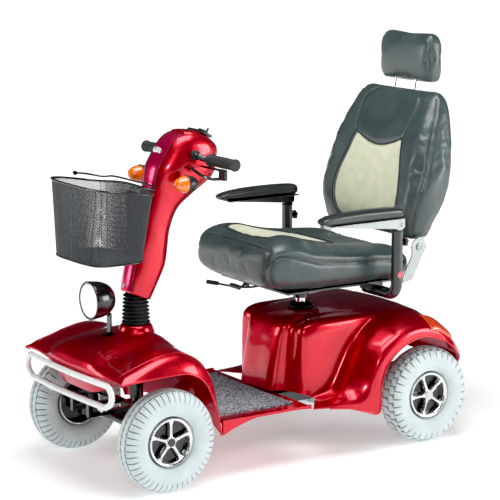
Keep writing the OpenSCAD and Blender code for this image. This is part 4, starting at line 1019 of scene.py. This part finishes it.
def bumper():
    """White tubular loop on two stays."""
    radius, corner = 0.0098, 0.033
    top, bottom, front, half = 0.357, 0.286, 0.71, 0.276
    run = half - corner
    outline = [(y, top) for y in np.linspace(-run, run, 25)]
    bends = np.linspace(0, math.pi, 25)[1:-1]
    outline += [(run + corner * math.sin(a), top - corner + corner * math.cos(a)) for a in bends]
    outline += [(y, bottom) for y in np.linspace(run, -run, 25)]
    outline += [(-run - corner * math.sin(a), top - corner - corner * math.cos(a)) for a in bends]
    path = [(front - 0.014 * (y / half) ** 2, y, z) for y, z in outline]
    parts = [tube_part(path, radius, 32, closed=True)]
    for s in SIDES.values():
        stay = rounded([(0.6681, s * 0.162, 0.261), (0.676, s * 0.162, 0.261),
                        (front - 0.011, s * 0.19, bottom - 0.002)], 0.01, 6)
        parts.append(tube_part(stay, 0.0062, 14))
        parts.append(turned_part([(0, 0), (0.0115, 0), (0.0115, 0.003), (0.0095, 0.0042), (0, 0.0042)],
                                 (0.6682, s * 0.162, 0.261), (1, 0, 0), 24))
    joined("bumper_loop", parts, "chassis", PALE, sharp=60, slot="white_paint", replaces=("bumper_bar",))


headlight()
bumper()

# ---------- seat ----------

# Place along the seat, half width, bottom and top of the cushion.
CUSHION_ROWS = [
    (-.502, .215, .572, .632), (-.492, .238, .561, .652), (-.45, .252, .556, .672), (-.38, .256, .5555, .682),
    (-.29, .258, .555, .69), (-.2, .258, .5545, .7), (-.11, .257, .555, .718), (-.03, .252, .559, .739),
    (.03, .243, .568, .739), (.066, .23, .578, .72), (.082, .212, .594, .688), (.087, .19, .612, .662)]
# Height, half width, front and rear of the backrest.
BACK_ROWS = [
    (.684, .238, -.488, -.566), (.692, .253, -.48, -.58), (.74, .27, -.472, -.602), (.8, .287, -.474, -.628),
    (.86, .295, -.486, -.645), (.93, .292, -.507, -.658), (1.0, .281, -.53, -.667), (1.07, .261, -.56, -.673),
    (1.12, .243, -.586, -.674), (1.155, .226, -.604, -.672), (1.177, .204, -.62, -.662),
    (1.184, .178, -.632, -.651)]
HEAD_ROWS = [
    (1.201, .126, -.652, -.694), (1.206, .138, -.64, -.704), (1.24, .146, -.631, -.71),
    (1.29, .147, -.629, -.712), (1.335, .144, -.634, -.707), (1.36, .134, -.645, -.697),
    (1.369, .118, -.658, -.684)]
ARM_X, ARM_Y = -0.372, 0.318
RECLINE_X, RECLINE_Z = -0.507, 0.669


def cushion_ring(s, inset, count):
    x, w, low, high = spline_at(CUSHION_ROWS, s)
    flat = superellipse((high - low) / 2 - inset, w - inset, 4.2, count)
    return np.stack([np.full(count, x), flat[:, 1], (high + low) / 2 + flat[:, 0]], 1)


def upright_ring(rows, s, inset, exponent, count):
    z, w, front, rear = spline_at(rows, s)
    flat = superellipse((front - rear) / 2 - inset, w - inset, exponent, count)
    return np.stack([(front + rear) / 2 + flat[:, 0], flat[:, 1], np.full(count, z)], 1)


def at_height(rows, z, column):
    """Half width (1), front (2) or rear (3) of an upright cushion at a height."""
    return np.interp(z, [row[0] for row in rows], [row[column] for row in rows])


def surface_tree(obj):
    """Lookup of the finished mesh, for laying seams and panels on it."""
    mesh = obj.data
    return BVHTree.FromPolygons([v.co[:] for v in mesh.vertices], [p.vertices[:] for p in mesh.polygons])


def snapped(path, tree, lift=0.0):
    out = []
    for p in path:
        spot, normal, _, _ = tree.find_nearest(Vector(p))
        out.append(np.array(spot) + np.array(normal) * lift)
    return np.array(out)


def apply_modifiers(obj):
    """Turns what the modifiers make into the object's own mesh."""
    depsgraph = bpy.context.evaluated_depsgraph_get()
    made = bpy.data.meshes.new_from_object(obj.evaluated_get(depsgraph))
    old, obj.data = obj.data, made
    obj.modifiers.clear()
    bpy.data.meshes.remove(old)


def swell(obj, voxel, cap):
    """Remeshes a closed form and lets cloth pressure fill it out, by no more than the cap at any point."""
    add_modifier(obj, "REMESH", mode="VOXEL", voxel_size=voxel)
    apply_modifiers(obj)
    before = np.empty(len(obj.data.vertices) * 3)
    obj.data.vertices.foreach_get("co", before)
    cloth = obj.modifiers.new("Cloth", "CLOTH")
    cloth.settings.use_pressure = True
    cloth.settings.uniform_pressure_force = 4.0
    cloth.settings.effector_weights.gravity = 0
    cloth.settings.quality = 4
    cloth.collision_settings.use_collision = False
    cloth.point_cache.frame_start = 1
    cloth.point_cache.frame_end = 20
    for k in range(1, 21):
        scene.frame_set(k)
    apply_modifiers(obj)
    after = np.empty_like(before)
    obj.data.vertices.foreach_get("co", after)
    move = (after - before).reshape(-1, 3)
    length = np.maximum(np.linalg.norm(move, axis=1, keepdims=True), 1e-9)
    move *= np.tanh(length / cap) * cap / length
    obj.data.vertices.foreach_set("co", (before.reshape(-1, 3) + move).ravel())
    obj.data.update()
    scene.frame_set(1)
    add_modifier(obj, "SMOOTH", factor=0.5, iterations=9)
    apply_modifiers(obj)


def shaped(obj, change):
    """Moves every vertex by a function of the vertex and normal arrays."""
    mesh = obj.data
    n = len(mesh.vertices)
    spots, facing = np.empty(n * 3), np.empty(n * 3)
    mesh.vertices.foreach_get("co", spots)
    mesh.vertices.foreach_get("normal", facing)
    moved = change(spots.reshape(-1, 3), facing.reshape(-1, 3))
    mesh.vertices.foreach_set("co", moved.ravel())
    mesh.update()


def grooved(spots, facing, lines, width, depth):
    """Pulls the surface in along seams, given as dense lists of points."""
    line = np.concatenate(lines)
    nearest = np.full(len(spots), 9.0)
    for start in range(0, len(line), 40):
        gap = np.linalg.norm(spots[:, None] - line[None, start:start + 40], axis=2).min(1)
        nearest = np.minimum(nearest, gap)
    return spots - facing * (depth * np.exp(-(nearest / width) ** 2))[:, None]


def finish_soft(obj, material, replaced):
    """Gives a padded piece its material and a subdivision, and hides the CAD node it stands for."""
    obj.data.materials.clear()
    obj.data.materials.append(material)
    add_modifier(obj, "SUBSURF", levels=1, render_levels=1)
    apply_modifiers(obj)
    obj.data.shade_smooth()
    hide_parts(replaced)


def laid_panel(name, outline, tree, direction, body, lift):
    """A fabric panel sewn into a cover: an outline filled by shrinking rings, cast onto the surface."""
    middle = outline.mean(0)
    direction = Vector(direction)
    points, faces = [], []
    count = len(outline)
    rings, sink = 9, 0.003
    for k in range(rings):
        share = 1 - k / rings
        edge = min(1.0, (1 - share) * 5)
        height = -sink + (lift + sink) * (1 - (1 - edge) ** 2)
        for p in middle + (outline - middle) * share:
            hit, _, _, _ = tree.ray_cast(Vector(p) - direction * 0.3, direction)
            spot = hit if hit is not None else tree.find_nearest(Vector(p))[0]
            points.append(np.array(spot) - np.array(direction) * height)
    for r in range(rings - 1):
        for j in range(count):
            a, b = r * count + j, r * count + (j + 1) % count
            faces.append((a, b, b + count, a + count))
    hit, _, _, _ = tree.ray_cast(Vector(middle) - direction * 0.3, direction)
    points.append(np.array(hit) - np.array(direction) * lift)
    base = (rings - 1) * count
    faces += [(base + j, base + (j + 1) % count, rings * count) for j in range(count)]
    points = np.array(points)
    size = len(points)
    under = points + np.array(direction) * 0.006
    faces += [tuple(i + size for i in f[::-1]) for f in faces]
    faces += [((j + 1) % count, j, j + size, (j + 1) % count + size) for j in range(count)]
    obj = piece(name, np.concatenate([points, under]), faces, body, CLOTH, sharp=50, slot="vinyl")


def seam(name, path, tree, body, radius, lift=0.0004):
    """A piped seam laid along the surface."""
    tube(name, snapped(path, tree, lift), radius, body, PIPING, sides=8, slot="vinyl")


def insert_seam(name, insert, tree, direction, body):
    """The piping round an insert, cast onto its panel from outside."""
    direction = np.asarray(direction, float)
    rim = []
    for p in insert:
        spot = tree.ray_cast(Vector(p - direction * 0.2), Vector(direction))[0]
        rim.append(np.array(spot) - direction * 0.0012)
    tube(name, rim, 0.0023, body, PIPING, sides=8, closed=True, slot="vinyl")


def stitches(name, path, tree, body):
    """A row of sewing stitches beside a seam."""
    pitch, length = 0.0075, 0.0045
    path = snapped(path, tree, 0.0005)
    along = np.concatenate([[0], np.cumsum(np.linalg.norm(np.diff(path, axis=0), axis=1))])
    parts = []
    for start in np.arange(0.004, along[-1] - pitch, pitch):
        ends = [[np.interp(start + k, along, path[:, i]) for i in range(3)] for k in (0, length / 2, length)]
        parts.append(tube_part(ends, 0.0006, 6))
    joined(name, parts, body, THREAD, slot="vinyl")


def cushion():
    """Seat cushion with a seam round its waist, sewn front corners and a pale insert."""
    last = len(CUSHION_ROWS) - 1
    rings = [cushion_ring(last * k / 60, 0.0045, 72) for k in range(61)]
    obj = loft("cushion", rings, "seat", VINYL, sharp=0)
    swell(obj, 0.0055, 0.009)
    pad = [(-.27, .1), (-.245, .135), (-.2, .146), (-.12, .148), (-.05, .144), (0.0, .137), (.02, .12),
           (.028, .06)]
    outline = pad + [(x, -y) for x, y in pad[::-1]]
    outline = smooth_line(outline + outline[:1], 150)[:-1]
    insert = np.stack([outline[:, 0], outline[:, 1], np.full(len(outline), 0.71)], 1)
    waist = []
    for s in np.linspace(1.5, last - 0.6, 90):
        x, w, low, high = spline_at(CUSHION_ROWS, s)
        waist.append((x, w, low + (high - low) * (0.62 + 0.1 * float(smoothstep(-0.15, 0.05, x)))))
    front = [(0.066, y, 0.706 + 0.018 * (1 - (y / 0.2) ** 2)) for y in np.linspace(0.2, -0.2, 50)]
    band = waist + front + [(x, -y, z) for x, y, z in waist[::-1]]
    band = smooth_line(band[::6] + band[-1:], 300)
    down = np.linspace(0, 1, 25)
    corners = [np.stack([0.062 + 0.012 * np.sin(down * math.pi), s * (0.232 - 0.016 * down),
                         0.682 - 0.11 * down], 1) for s in SIDES.values()]
    tree = surface_tree(obj)
    band = snapped(band, tree)
    corners = [snapped(c, tree) for c in corners]

    def change(spots, facing):
        """Sinks the seams and the insert, flattens the underside on the pan and dimples the flanks."""
        moved = grooved(spots, facing, [band, *corners], 0.009, 0.0055)
        x, out = spots[:, 0], np.abs(spots[:, 1])
        inside = 1 - smoothstep(0.8, 1.02, np.maximum(np.abs(x + 0.12) / 0.15, out / 0.15))
        top = smoothstep(0.6, 0.9, facing[:, 2])
        valley = (1 - smoothstep(0.1, 0.2, out)) * (1 - smoothstep(-0.3, 0.06, x) * 0.75)
        moved[:, 2] -= (0.004 * inside + 0.014 * valley) * top
        bottom = (facing[:, 2] < -0.4) & (spots[:, 2] < 0.59)
        inner = (1 - smoothstep(0.17, 0.215, out)) * (1 - smoothstep(-0.14, -0.05, x))
        inner *= smoothstep(-0.47, -0.43, x)
        moved[bottom, 2] = moved[bottom, 2] * (1 - inner[bottom]) + 0.5552 * inner[bottom]
        pull = 0.0016 * np.sin(x * 46) * smoothstep(0.2, 0.26, out) * (1 - np.abs(facing[:, 2]))
        return moved + facing * pull[:, None]

    shaped(obj, change)
    finish_soft(obj, VINYL, "seat_cushion")
    tree = surface_tree(obj)
    laid_panel("cushion_insert", insert, tree, (0, 0, -1), "seat", 0.0035)
    seam("cushion_seam_band", band, tree, "seat", 0.0024)
    for (side, s), corner in zip(SIDES.items(), corners):
        seam("cushion_seam_" + side, corner, tree, "seat", 0.0016)
        stitches("cushion_stitch_" + side, corner + (0.0, s * 0.0045, 0.0), tree, "seat")
    insert_seam("cushion_insert_seam", insert, tree, (0, 0, -1), "seat")
    stitches("cushion_band_stitch", band + (0, 0, 0.006), tree, "seat")


def back():
    """Backrest with piped edges, a pale insert, sewn shoulders and the arms of its hinge."""
    last = len(BACK_ROWS) - 1
    rings = [upright_ring(BACK_ROWS, last * k / 66, 0.0045, 6.5, 96) for k in range(67)]
    obj = loft("back_cover", rings, "back", VINYL, sharp=0)
    swell(obj, 0.0055, 0.01)

    def half_w(z):
        return at_height(BACK_ROWS, z, 1)

    def front_x(z):
        return at_height(BACK_ROWS, z, 2)

    pad = [(.712, .0), (.714, .09), (.73, .15), (.78, .178), (.84, .182), (.9, .17), (.96, .15), (1.01, .137),
           (1.022, .13), (1.006, .09), (.993, .045), (.988, 0)]
    outline = pad + [(z, -y) for z, y in pad[-2:0:-1]]
    outline = smooth_line(outline + outline[:1], 170)[:-1]
    insert = np.stack([front_x(outline[:, 0]), outline[:, 1], outline[:, 0]], 1)
    tree = surface_tree(obj)
    heights = np.linspace(0.71, 1.165, 120)
    upper = smooth_line([(1.022, .13), (1.06, .142), (1.11, .15), (1.15, .14), (1.18, .118)], 60)
    piping, rear_seams, side_seams = [], [], []
    for s in SIDES.values():
        out = s * (half_w(heights) - 0.006)
        piping.append(snapped(np.stack([front_x(heights) - 0.004, out, heights], 1), tree))
        rear = at_height(BACK_ROWS, heights, 3) + 0.004
        rear_seams.append(snapped(np.stack([rear, out, heights], 1), tree))
        side_seams.append(snapped([(front_x(z), s * y, z) for z, y in upper], tree))

    def change(spots, facing):
        """Sinks the seams and the panel between them, and raises the bolsters at the sides."""
        moved = grooved(spots, facing, [*piping, *rear_seams], 0.006, 0.0035)
        moved = grooved(moved, facing, side_seams, 0.008, 0.005)
        ahead = smoothstep(0.5, 0.85, facing[:, 0])
        out, z = np.abs(spots[:, 1]), spots[:, 2]
        reach = np.interp(z, [.71, .78, .84, .9, .96, 1.02, 1.06, 1.15],
                          [.15, .178, .182, .17, .15, .132, .14, .135])
        inside = (1 - smoothstep(0.82, 1.03, out / reach)) * smoothstep(.7, .73, z)
        low = inside * (1 - smoothstep(1.0, 1.03, z - 1.5 * out ** 2 + 0.02))
        moved[:, 0] -= ahead * (0.009 * low + 0.003 * inside)
        bolster = np.exp(-((out - half_w(z) + 0.05) / 0.035) ** 2) * smoothstep(0.72, 0.8, z)
        moved[:, 0] += ahead * 0.006 * bolster * (1 - smoothstep(1.02, 1.12, z))
        return moved

    shaped(obj, change)
    finish_soft(obj, VINYL, "backrest")
    tree = surface_tree(obj)
    laid_panel("back_insert", insert, tree, (-1, 0, 0), "back", 0.0045)
    insert_seam("back_insert_seam", insert, tree, (-1, 0, 0), "back")
    for (side, s), pipe, rear, upper in zip(SIDES.items(), piping, rear_seams, side_seams):
        seam("back_piping_" + side, pipe, tree, "back", 0.003, lift=0.0008)
        seam("back_rear_seam_" + side, rear, tree, "back", 0.0024)
        seam("back_upper_seam_" + side, upper, tree, "back", 0.0016)
        stitches("back_stitch_" + side, upper + (0, s * 0.005, 0), tree, "back")
        stitches("back_piping_stitch_" + side, pipe + (0, -s * 0.008, 0), tree, "back")
    arms = []
    outline = [(RECLINE_X + 0.022 * math.cos(a), RECLINE_Z + 0.022 * math.sin(a))
               for a in np.linspace(math.radians(175), math.radians(365), 22)]
    outline += [(-0.505, 0.7), (-0.535, 0.7)]
    pin = [(0, 0.245), (0.008, 0.245), (0.008, 0.2664), (0.0118, 0.2664), (0.0122, 0.2672), (0.0118, 0.2694),
           (0.0105, 0.2702), (0.0055, 0.2702), (0.0048, 0.269), (0, 0.269)]
    for s in SIDES.values():
        arms.append(skin([[(x, s * y, z) for x, z in outline] for y in (0.2545, 0.2605)]))
        arms.append(turned_part(pin, (RECLINE_X, 0, RECLINE_Z), (0, s, 0), 32))
    joined("back_hinge_arms", arms, "back", PLATE, slot="zinc_steel")


def head():
    """Headrest with a seam down each side, on two posts."""
    last = len(HEAD_ROWS) - 1
    rings = [upright_ring(HEAD_ROWS, last * k / 40, 0.004, 6, 88) for k in range(41)]
    obj = loft("head_pad", rings, "head", VINYL, sharp=0)
    swell(obj, 0.0045, 0.007)
    tree = surface_tree(obj)
    heights = np.linspace(1.214, 1.352, 60)
    ahead, out = at_height(HEAD_ROWS, heights, 2) - 0.003, at_height(HEAD_ROWS, heights, 1) - 0.004
    lines = [snapped(np.stack([ahead, s * out, heights], 1), tree) for s in SIDES.values()]
    shaped(obj, lambda spots, facing: grooved(spots, facing, lines, 0.006, 0.0028))
    finish_soft(obj, VINYL, "headrest")
    tree = surface_tree(obj)
    for (side, s), line in zip(SIDES.items(), lines):
        seam("head_seam_" + side, line, tree, "head", 0.002)
        stitches("head_stitch_" + side, line + (0, -s * 0.007, 0), tree, "head")
    along = np.array([-0.17, 0, 0.98544])
    posts = []
    for s in SIDES.values():
        foot = np.array([-0.65, s * 0.055, 1.19])
        posts.append(tube_part([foot + along * t for t in (-0.148, -0.05, 0.04)], 0.005, 24))
    joined("head_posts", posts, "head", CHROME, slot="chrome")


def arm(side, s):
    """Arm pad in its tray, with the tapered bracket that turns on the arm post."""
    body = "arm_" + side
    y0 = s * (ARM_Y - 0.015)
    rings = []
    rows = [(-.394, .021, .7865, .816), (-.39, .026, .7855, .8215), (-.36, .0295, .7855, .8245),
            (-.28, .03, .786, .8255), (-.2, .0305, .7865, .824), (-.14, .0305, .787, .8205),
            (-.1, .0295, .7875, .8165), (-.075, .026, .789, .8115), (-.065, .018, .793, .8055)]
    for k in range(49):
        x, w, low, high = spline_at(rows, (len(rows) - 1) * k / 48)
        flat = superellipse((high - low) / 2 - 0.0015, w - 0.0015, 3.0, 48)
        rings.append(np.stack([np.full(48, x), y0 + flat[:, 1], (high + low) / 2 + flat[:, 0]], 1))
    obj = loft("arm_pad_" + side, rings, body, GLOSS_VINYL, sharp=0)
    swell(obj, 0.004, 0.0035)
    tree = surface_tree(obj)
    along = np.linspace(-0.386, -0.085, 80)
    heights = 0.7975 + 0.0045 * np.sin((along + 0.39) * 9)
    lines = [snapped(np.stack([along, np.full(80, y0 + s * out), heights], 1), tree) for out in (0.03, -0.03)]
    shaped(obj, lambda spots, facing: grooved(spots, facing, lines, 0.0045, 0.0022))
    finish_soft(obj, GLOSS_VINYL, "armrest_" + side)
    # The left arm, on the lit side, takes pale plate and the right, on the shaded side, black steel: the
    # darker right bracket and tray edge are painted shade.
    metal = PLATE if s > 0 else STEEL
    slot = "zinc_steel" if s > 0 else "dark_steel"
    tray = [(-0.3945, -0.0255), (-0.3945, 0.0255), (-0.108, 0.0255), (-0.104, 0.02), (-0.104, -0.02),
            (-0.108, -0.0255)]
    parts = [skin([[(x, y0 + y, z) for x, y in tray] for z in (0.7822, 0.7855)])]
    cheek = [(-.396, .757), (-.391, .7525), (-.378, .752), (-.14, .777), (-.112, .783), (-.112, .7832),
             (-.396, .7832)]
    bolt = [(0, 0), (0.0062, 0), (0.0062, 0.0014), (0.005, 0.0028), (0, 0.0028)]
    for way in (1, -1):
        parts.append(skin([[(x, s * ARM_Y + way * y, z) for x, z in cheek] for y in (0.0065, 0.0105)]))
        parts.append(turned_part(bolt, (-0.385, s * ARM_Y + way * 0.0105, 0.765), (0, way, 0), 20))
    joined("arm_bracket_" + side, parts, body, metal, slot=slot)
    edge = [(x, y0 + y, 0.7838) for x, y in tray]
    tube("arm_tray_edge_" + side, edge, 0.0021, body, metal, sides=8, closed=True, slot=slot)


def seat_trim():
    """The rose cap on the arm tube, and the collars where the arm posts leave their tubes."""
    cap = [(0, 0), (0.0125, 0), (0.0125, 0.0022), (0.0105, 0.0036), (0.0092, 0.003), (0.0085, 0.0022),
           (0, 0.0022)]
    turned("arm_tube_cap", cap, (ARM_X, ARM_Y + 0.0185, 0.6), (0, 1, 0), "seat", CAP, 40, slot="dial_red")
    for side, s in SIDES.items():
        collar = [(0.0125, 0.7445), (0.0198, 0.7445), (0.0203, 0.7462), (0.0195, 0.7485), (0.0125, 0.749)]
        turned("arm_collar_" + side, collar, (ARM_X, s * ARM_Y, 0), (0, 0, 1), "seat", BLACK, 40, loop=True,
               slot="black_plastic")


cushion()
back()
head()
for arm_side, arm_sign in SIDES.items():
    arm(arm_side, arm_sign)
seat_trim()

# ---------- CAD nodes that stay ----------


def soft_edges_group():
    """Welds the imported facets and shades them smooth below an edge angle, leaving every vertex in place."""
    tree = bpy.data.node_groups.new("smooth_facets", "GeometryNodeTree")
    tree.interface.new_socket("Geometry", in_out="INPUT", socket_type="NodeSocketGeometry")
    tree.interface.new_socket("Geometry", in_out="OUTPUT", socket_type="NodeSocketGeometry")
    entry, leave = tree.nodes.new("NodeGroupInput"), tree.nodes.new("NodeGroupOutput")
    weld = tree.nodes.new("GeometryNodeMergeByDistance")
    weld.inputs["Distance"].default_value = 0.00002
    smooth_faces = tree.nodes.new("GeometryNodeSetShadeSmooth")
    smooth_faces.domain = "FACE"
    sharp_edges = tree.nodes.new("GeometryNodeSetShadeSmooth")
    sharp_edges.domain = "EDGE"
    sharp_edges.inputs["Shade Smooth"].default_value = False
    angle = tree.nodes.new("GeometryNodeInputMeshEdgeAngle")
    above = tree.nodes.new("FunctionNodeCompare")
    above.data_type = "FLOAT"
    above.operation = "GREATER_THAN"
    above.inputs[1].default_value = math.radians(38)
    tree.links.new(entry.outputs[0], weld.inputs["Geometry"])
    tree.links.new(weld.outputs["Geometry"], smooth_faces.inputs["Geometry"])
    tree.links.new(smooth_faces.outputs["Geometry"], sharp_edges.inputs["Geometry"])
    tree.links.new(angle.outputs["Unsigned Angle"], above.inputs[0])
    tree.links.new(above.outputs[0], sharp_edges.inputs["Selection"])
    tree.links.new(sharp_edges.outputs["Geometry"], leave.inputs[0])
    return tree


KEPT = (
    (ZINC, "shaft_rear_left shaft_rear_right steering_stem tie_rod_left tie_rod_right"),
    # arm_post_left takes zinc and arm_post_right black steel: the darker post on the shaded far side is
    # painted shade.
    (ZINC, "tiller_column key_switch arm_post_left"),
    (STEEL, "knuckle_left knuckle_right main_frame handlebar basket_bracket"),
    (STEEL, "seat_swivel seat_pan arm_post_right"),
    (GLOSS_BLACK, "headlight_housing basket_handle brake_lever recline_lever"),
    (BLACK, "battery_pack indicator_stems throttle_lever swivel_lever slide_lever"),
    (BLACK, "arm_knob_left arm_knob_right"),
    (RED, "floor_deck"),
    (CARPET, "floor_mat"),
    (RUBBER, "post_grommet"),
    (GREY_CASE, "transaxle"),
    # The horn button takes the amber lamp plastic, so it glows faintly though it is no lamp: painted light.
    (AMBER, "horn_button"),
    (CHROME, "seat_post"),
    (PLATE, "recliner_plates"))


def keep_cad_nodes():
    """Gives the CAD nodes that stay their finish and smooth shading."""
    group = soft_edges_group()
    for material, names in KEPT:
        for name in names.split():
            obj = nodes[name]
            custom = obj.data.attributes.get("custom_normal")
            if custom:
                obj.data.attributes.remove(custom)
            obj.data.materials.clear()
            obj.data.materials.append(material)
            modifier = obj.modifiers.new("Smooth", "NODES")
            modifier.node_group = group


keep_cad_nodes()

# ---------- floor, light and camera ----------

FLOOR_SIZE = 44.0


def stage():
    """Pale floor that glows more with distance, and a world whose backdrop the camera sees as white."""
    mat, tree, bsdf = shader("pale_floor", (0.93, 0.93, 0.93), 0.9)
    tint(tree, bsdf, noise(tree, 3.0, 4.0), (0.92, 0.92, 0.92), (0.94, 0.94, 0.94))
    bump(tree, bsdf, noise(tree, 60.0, 2.0), 0.02, 0.001)
    half = FLOOR_SIZE / 2
    corners = [(-half, -half, 0), (half, -half, 0), (half, half, 0), (-half, half, 0)]
    bsdf.inputs["Emission Color"].default_value = (1, 1, 1, 1)
    away = add(tree, "VectorMath", {"operation": "LENGTH"}, at0=object_space(tree)).outputs["Value"]
    tree.links.new(spread(tree, away, 1.0, 4.5, 0.3, 0.95), bsdf.inputs["Emission Strength"])
    floor = piece("floor", [(x, y, -0.0006) for x, y, _ in corners], [(0, 1, 2, 3)], None, mat, sharp=0)
    world = bpy.data.worlds.new("studio")
    world.use_nodes = True
    tree = world.node_tree
    tree.nodes["Background"].inputs["Color"].default_value = (1, 1, 1, 1)
    facing = add(tree, "TexCoord").outputs["Generated"]
    backdrop = add(tree, "VectorMath", {"operation": "DOT_PRODUCT"}, at0=facing, at1=(-0.55, -0.83, 0.0))
    height = add(tree, "SeparateXYZ", Vector=facing).outputs["Z"]
    behind = spread(tree, backdrop.outputs["Value"], -0.05, 0.45, 0.0, 1.0)
    above = spread(tree, height, 0.35, 0.85, 0.0, 0.8)
    bright = add(tree, "Math", {"operation": "MAXIMUM"}, at0=behind, at1=above).outputs[0]
    lit = spread(tree, bright, 0.0, 1.0, 0.005, 0.05)
    seen = add(tree, "LightPath").outputs["Is Camera Ray"]
    strength = add(tree, "Math", {"operation": "MAXIMUM"}, at0=lit, at1=seen).outputs[0]
    tree.links.new(strength, tree.nodes["Background"].inputs["Strength"])
    scene.world = world


def area_light(name, place, target, size, watts):
    data = bpy.data.lights.new(name, "AREA")
    data.size = size
    data.energy = watts
    light = bpy.data.objects.new(name, data)
    scene.collection.objects.link(light)
    light.location = place
    light.rotation_mode = "QUATERNION"
    light.rotation_quaternion = (Vector(target) - Vector(place)).to_track_quat("-Z", "Y")


def camera():
    azimuth, elevation = math.radians(146.18), math.radians(11.16)
    place = Vector((3.6028, 5.3761, 1.9058))
    back = Vector((math.sin(azimuth) * math.cos(elevation), -math.cos(azimuth) * math.cos(elevation),
                   math.sin(elevation)))
    data = bpy.data.cameras.new("Camera")
    data.sensor_width = 36.0
    data.lens = 1972.4 / 500 * 36.0
    data.shift_x = 0.0001
    data.shift_y = 0.0238
    data.clip_end = 60
    obj = bpy.data.objects.new("Camera", data)
    scene.collection.objects.link(obj)
    obj.location = place
    obj.rotation_mode = "QUATERNION"
    obj.rotation_quaternion = (-back).to_track_quat("-Z", "Y")
    scene.camera = obj


stage()
area_light("overhead", (0.3, 0.6, 3.4), (0.1, 0, 0.4), 2.2, 80)
area_light("right_panel", (-3.2, 3.4, 1.5), (-0.2, 0, 0.6), 2.0, 85)
area_light("left_panel", (3.8, -2.4, 1.6), (0.2, 0, 0.6), 1.8, 45)
area_light("front_spot", (3.0, 4.0, 2.6), (0.1, 0, 0.6), 0.8, 40)
camera()
scene.view_settings.view_transform = "Standard"
scene.view_settings.exposure = 0.3
scene.view_settings.use_curve_mapping = True
scene.view_settings.curve_mapping.black_level = (0.012, 0.012, 0.012)
scene.view_settings.curve_mapping.update()
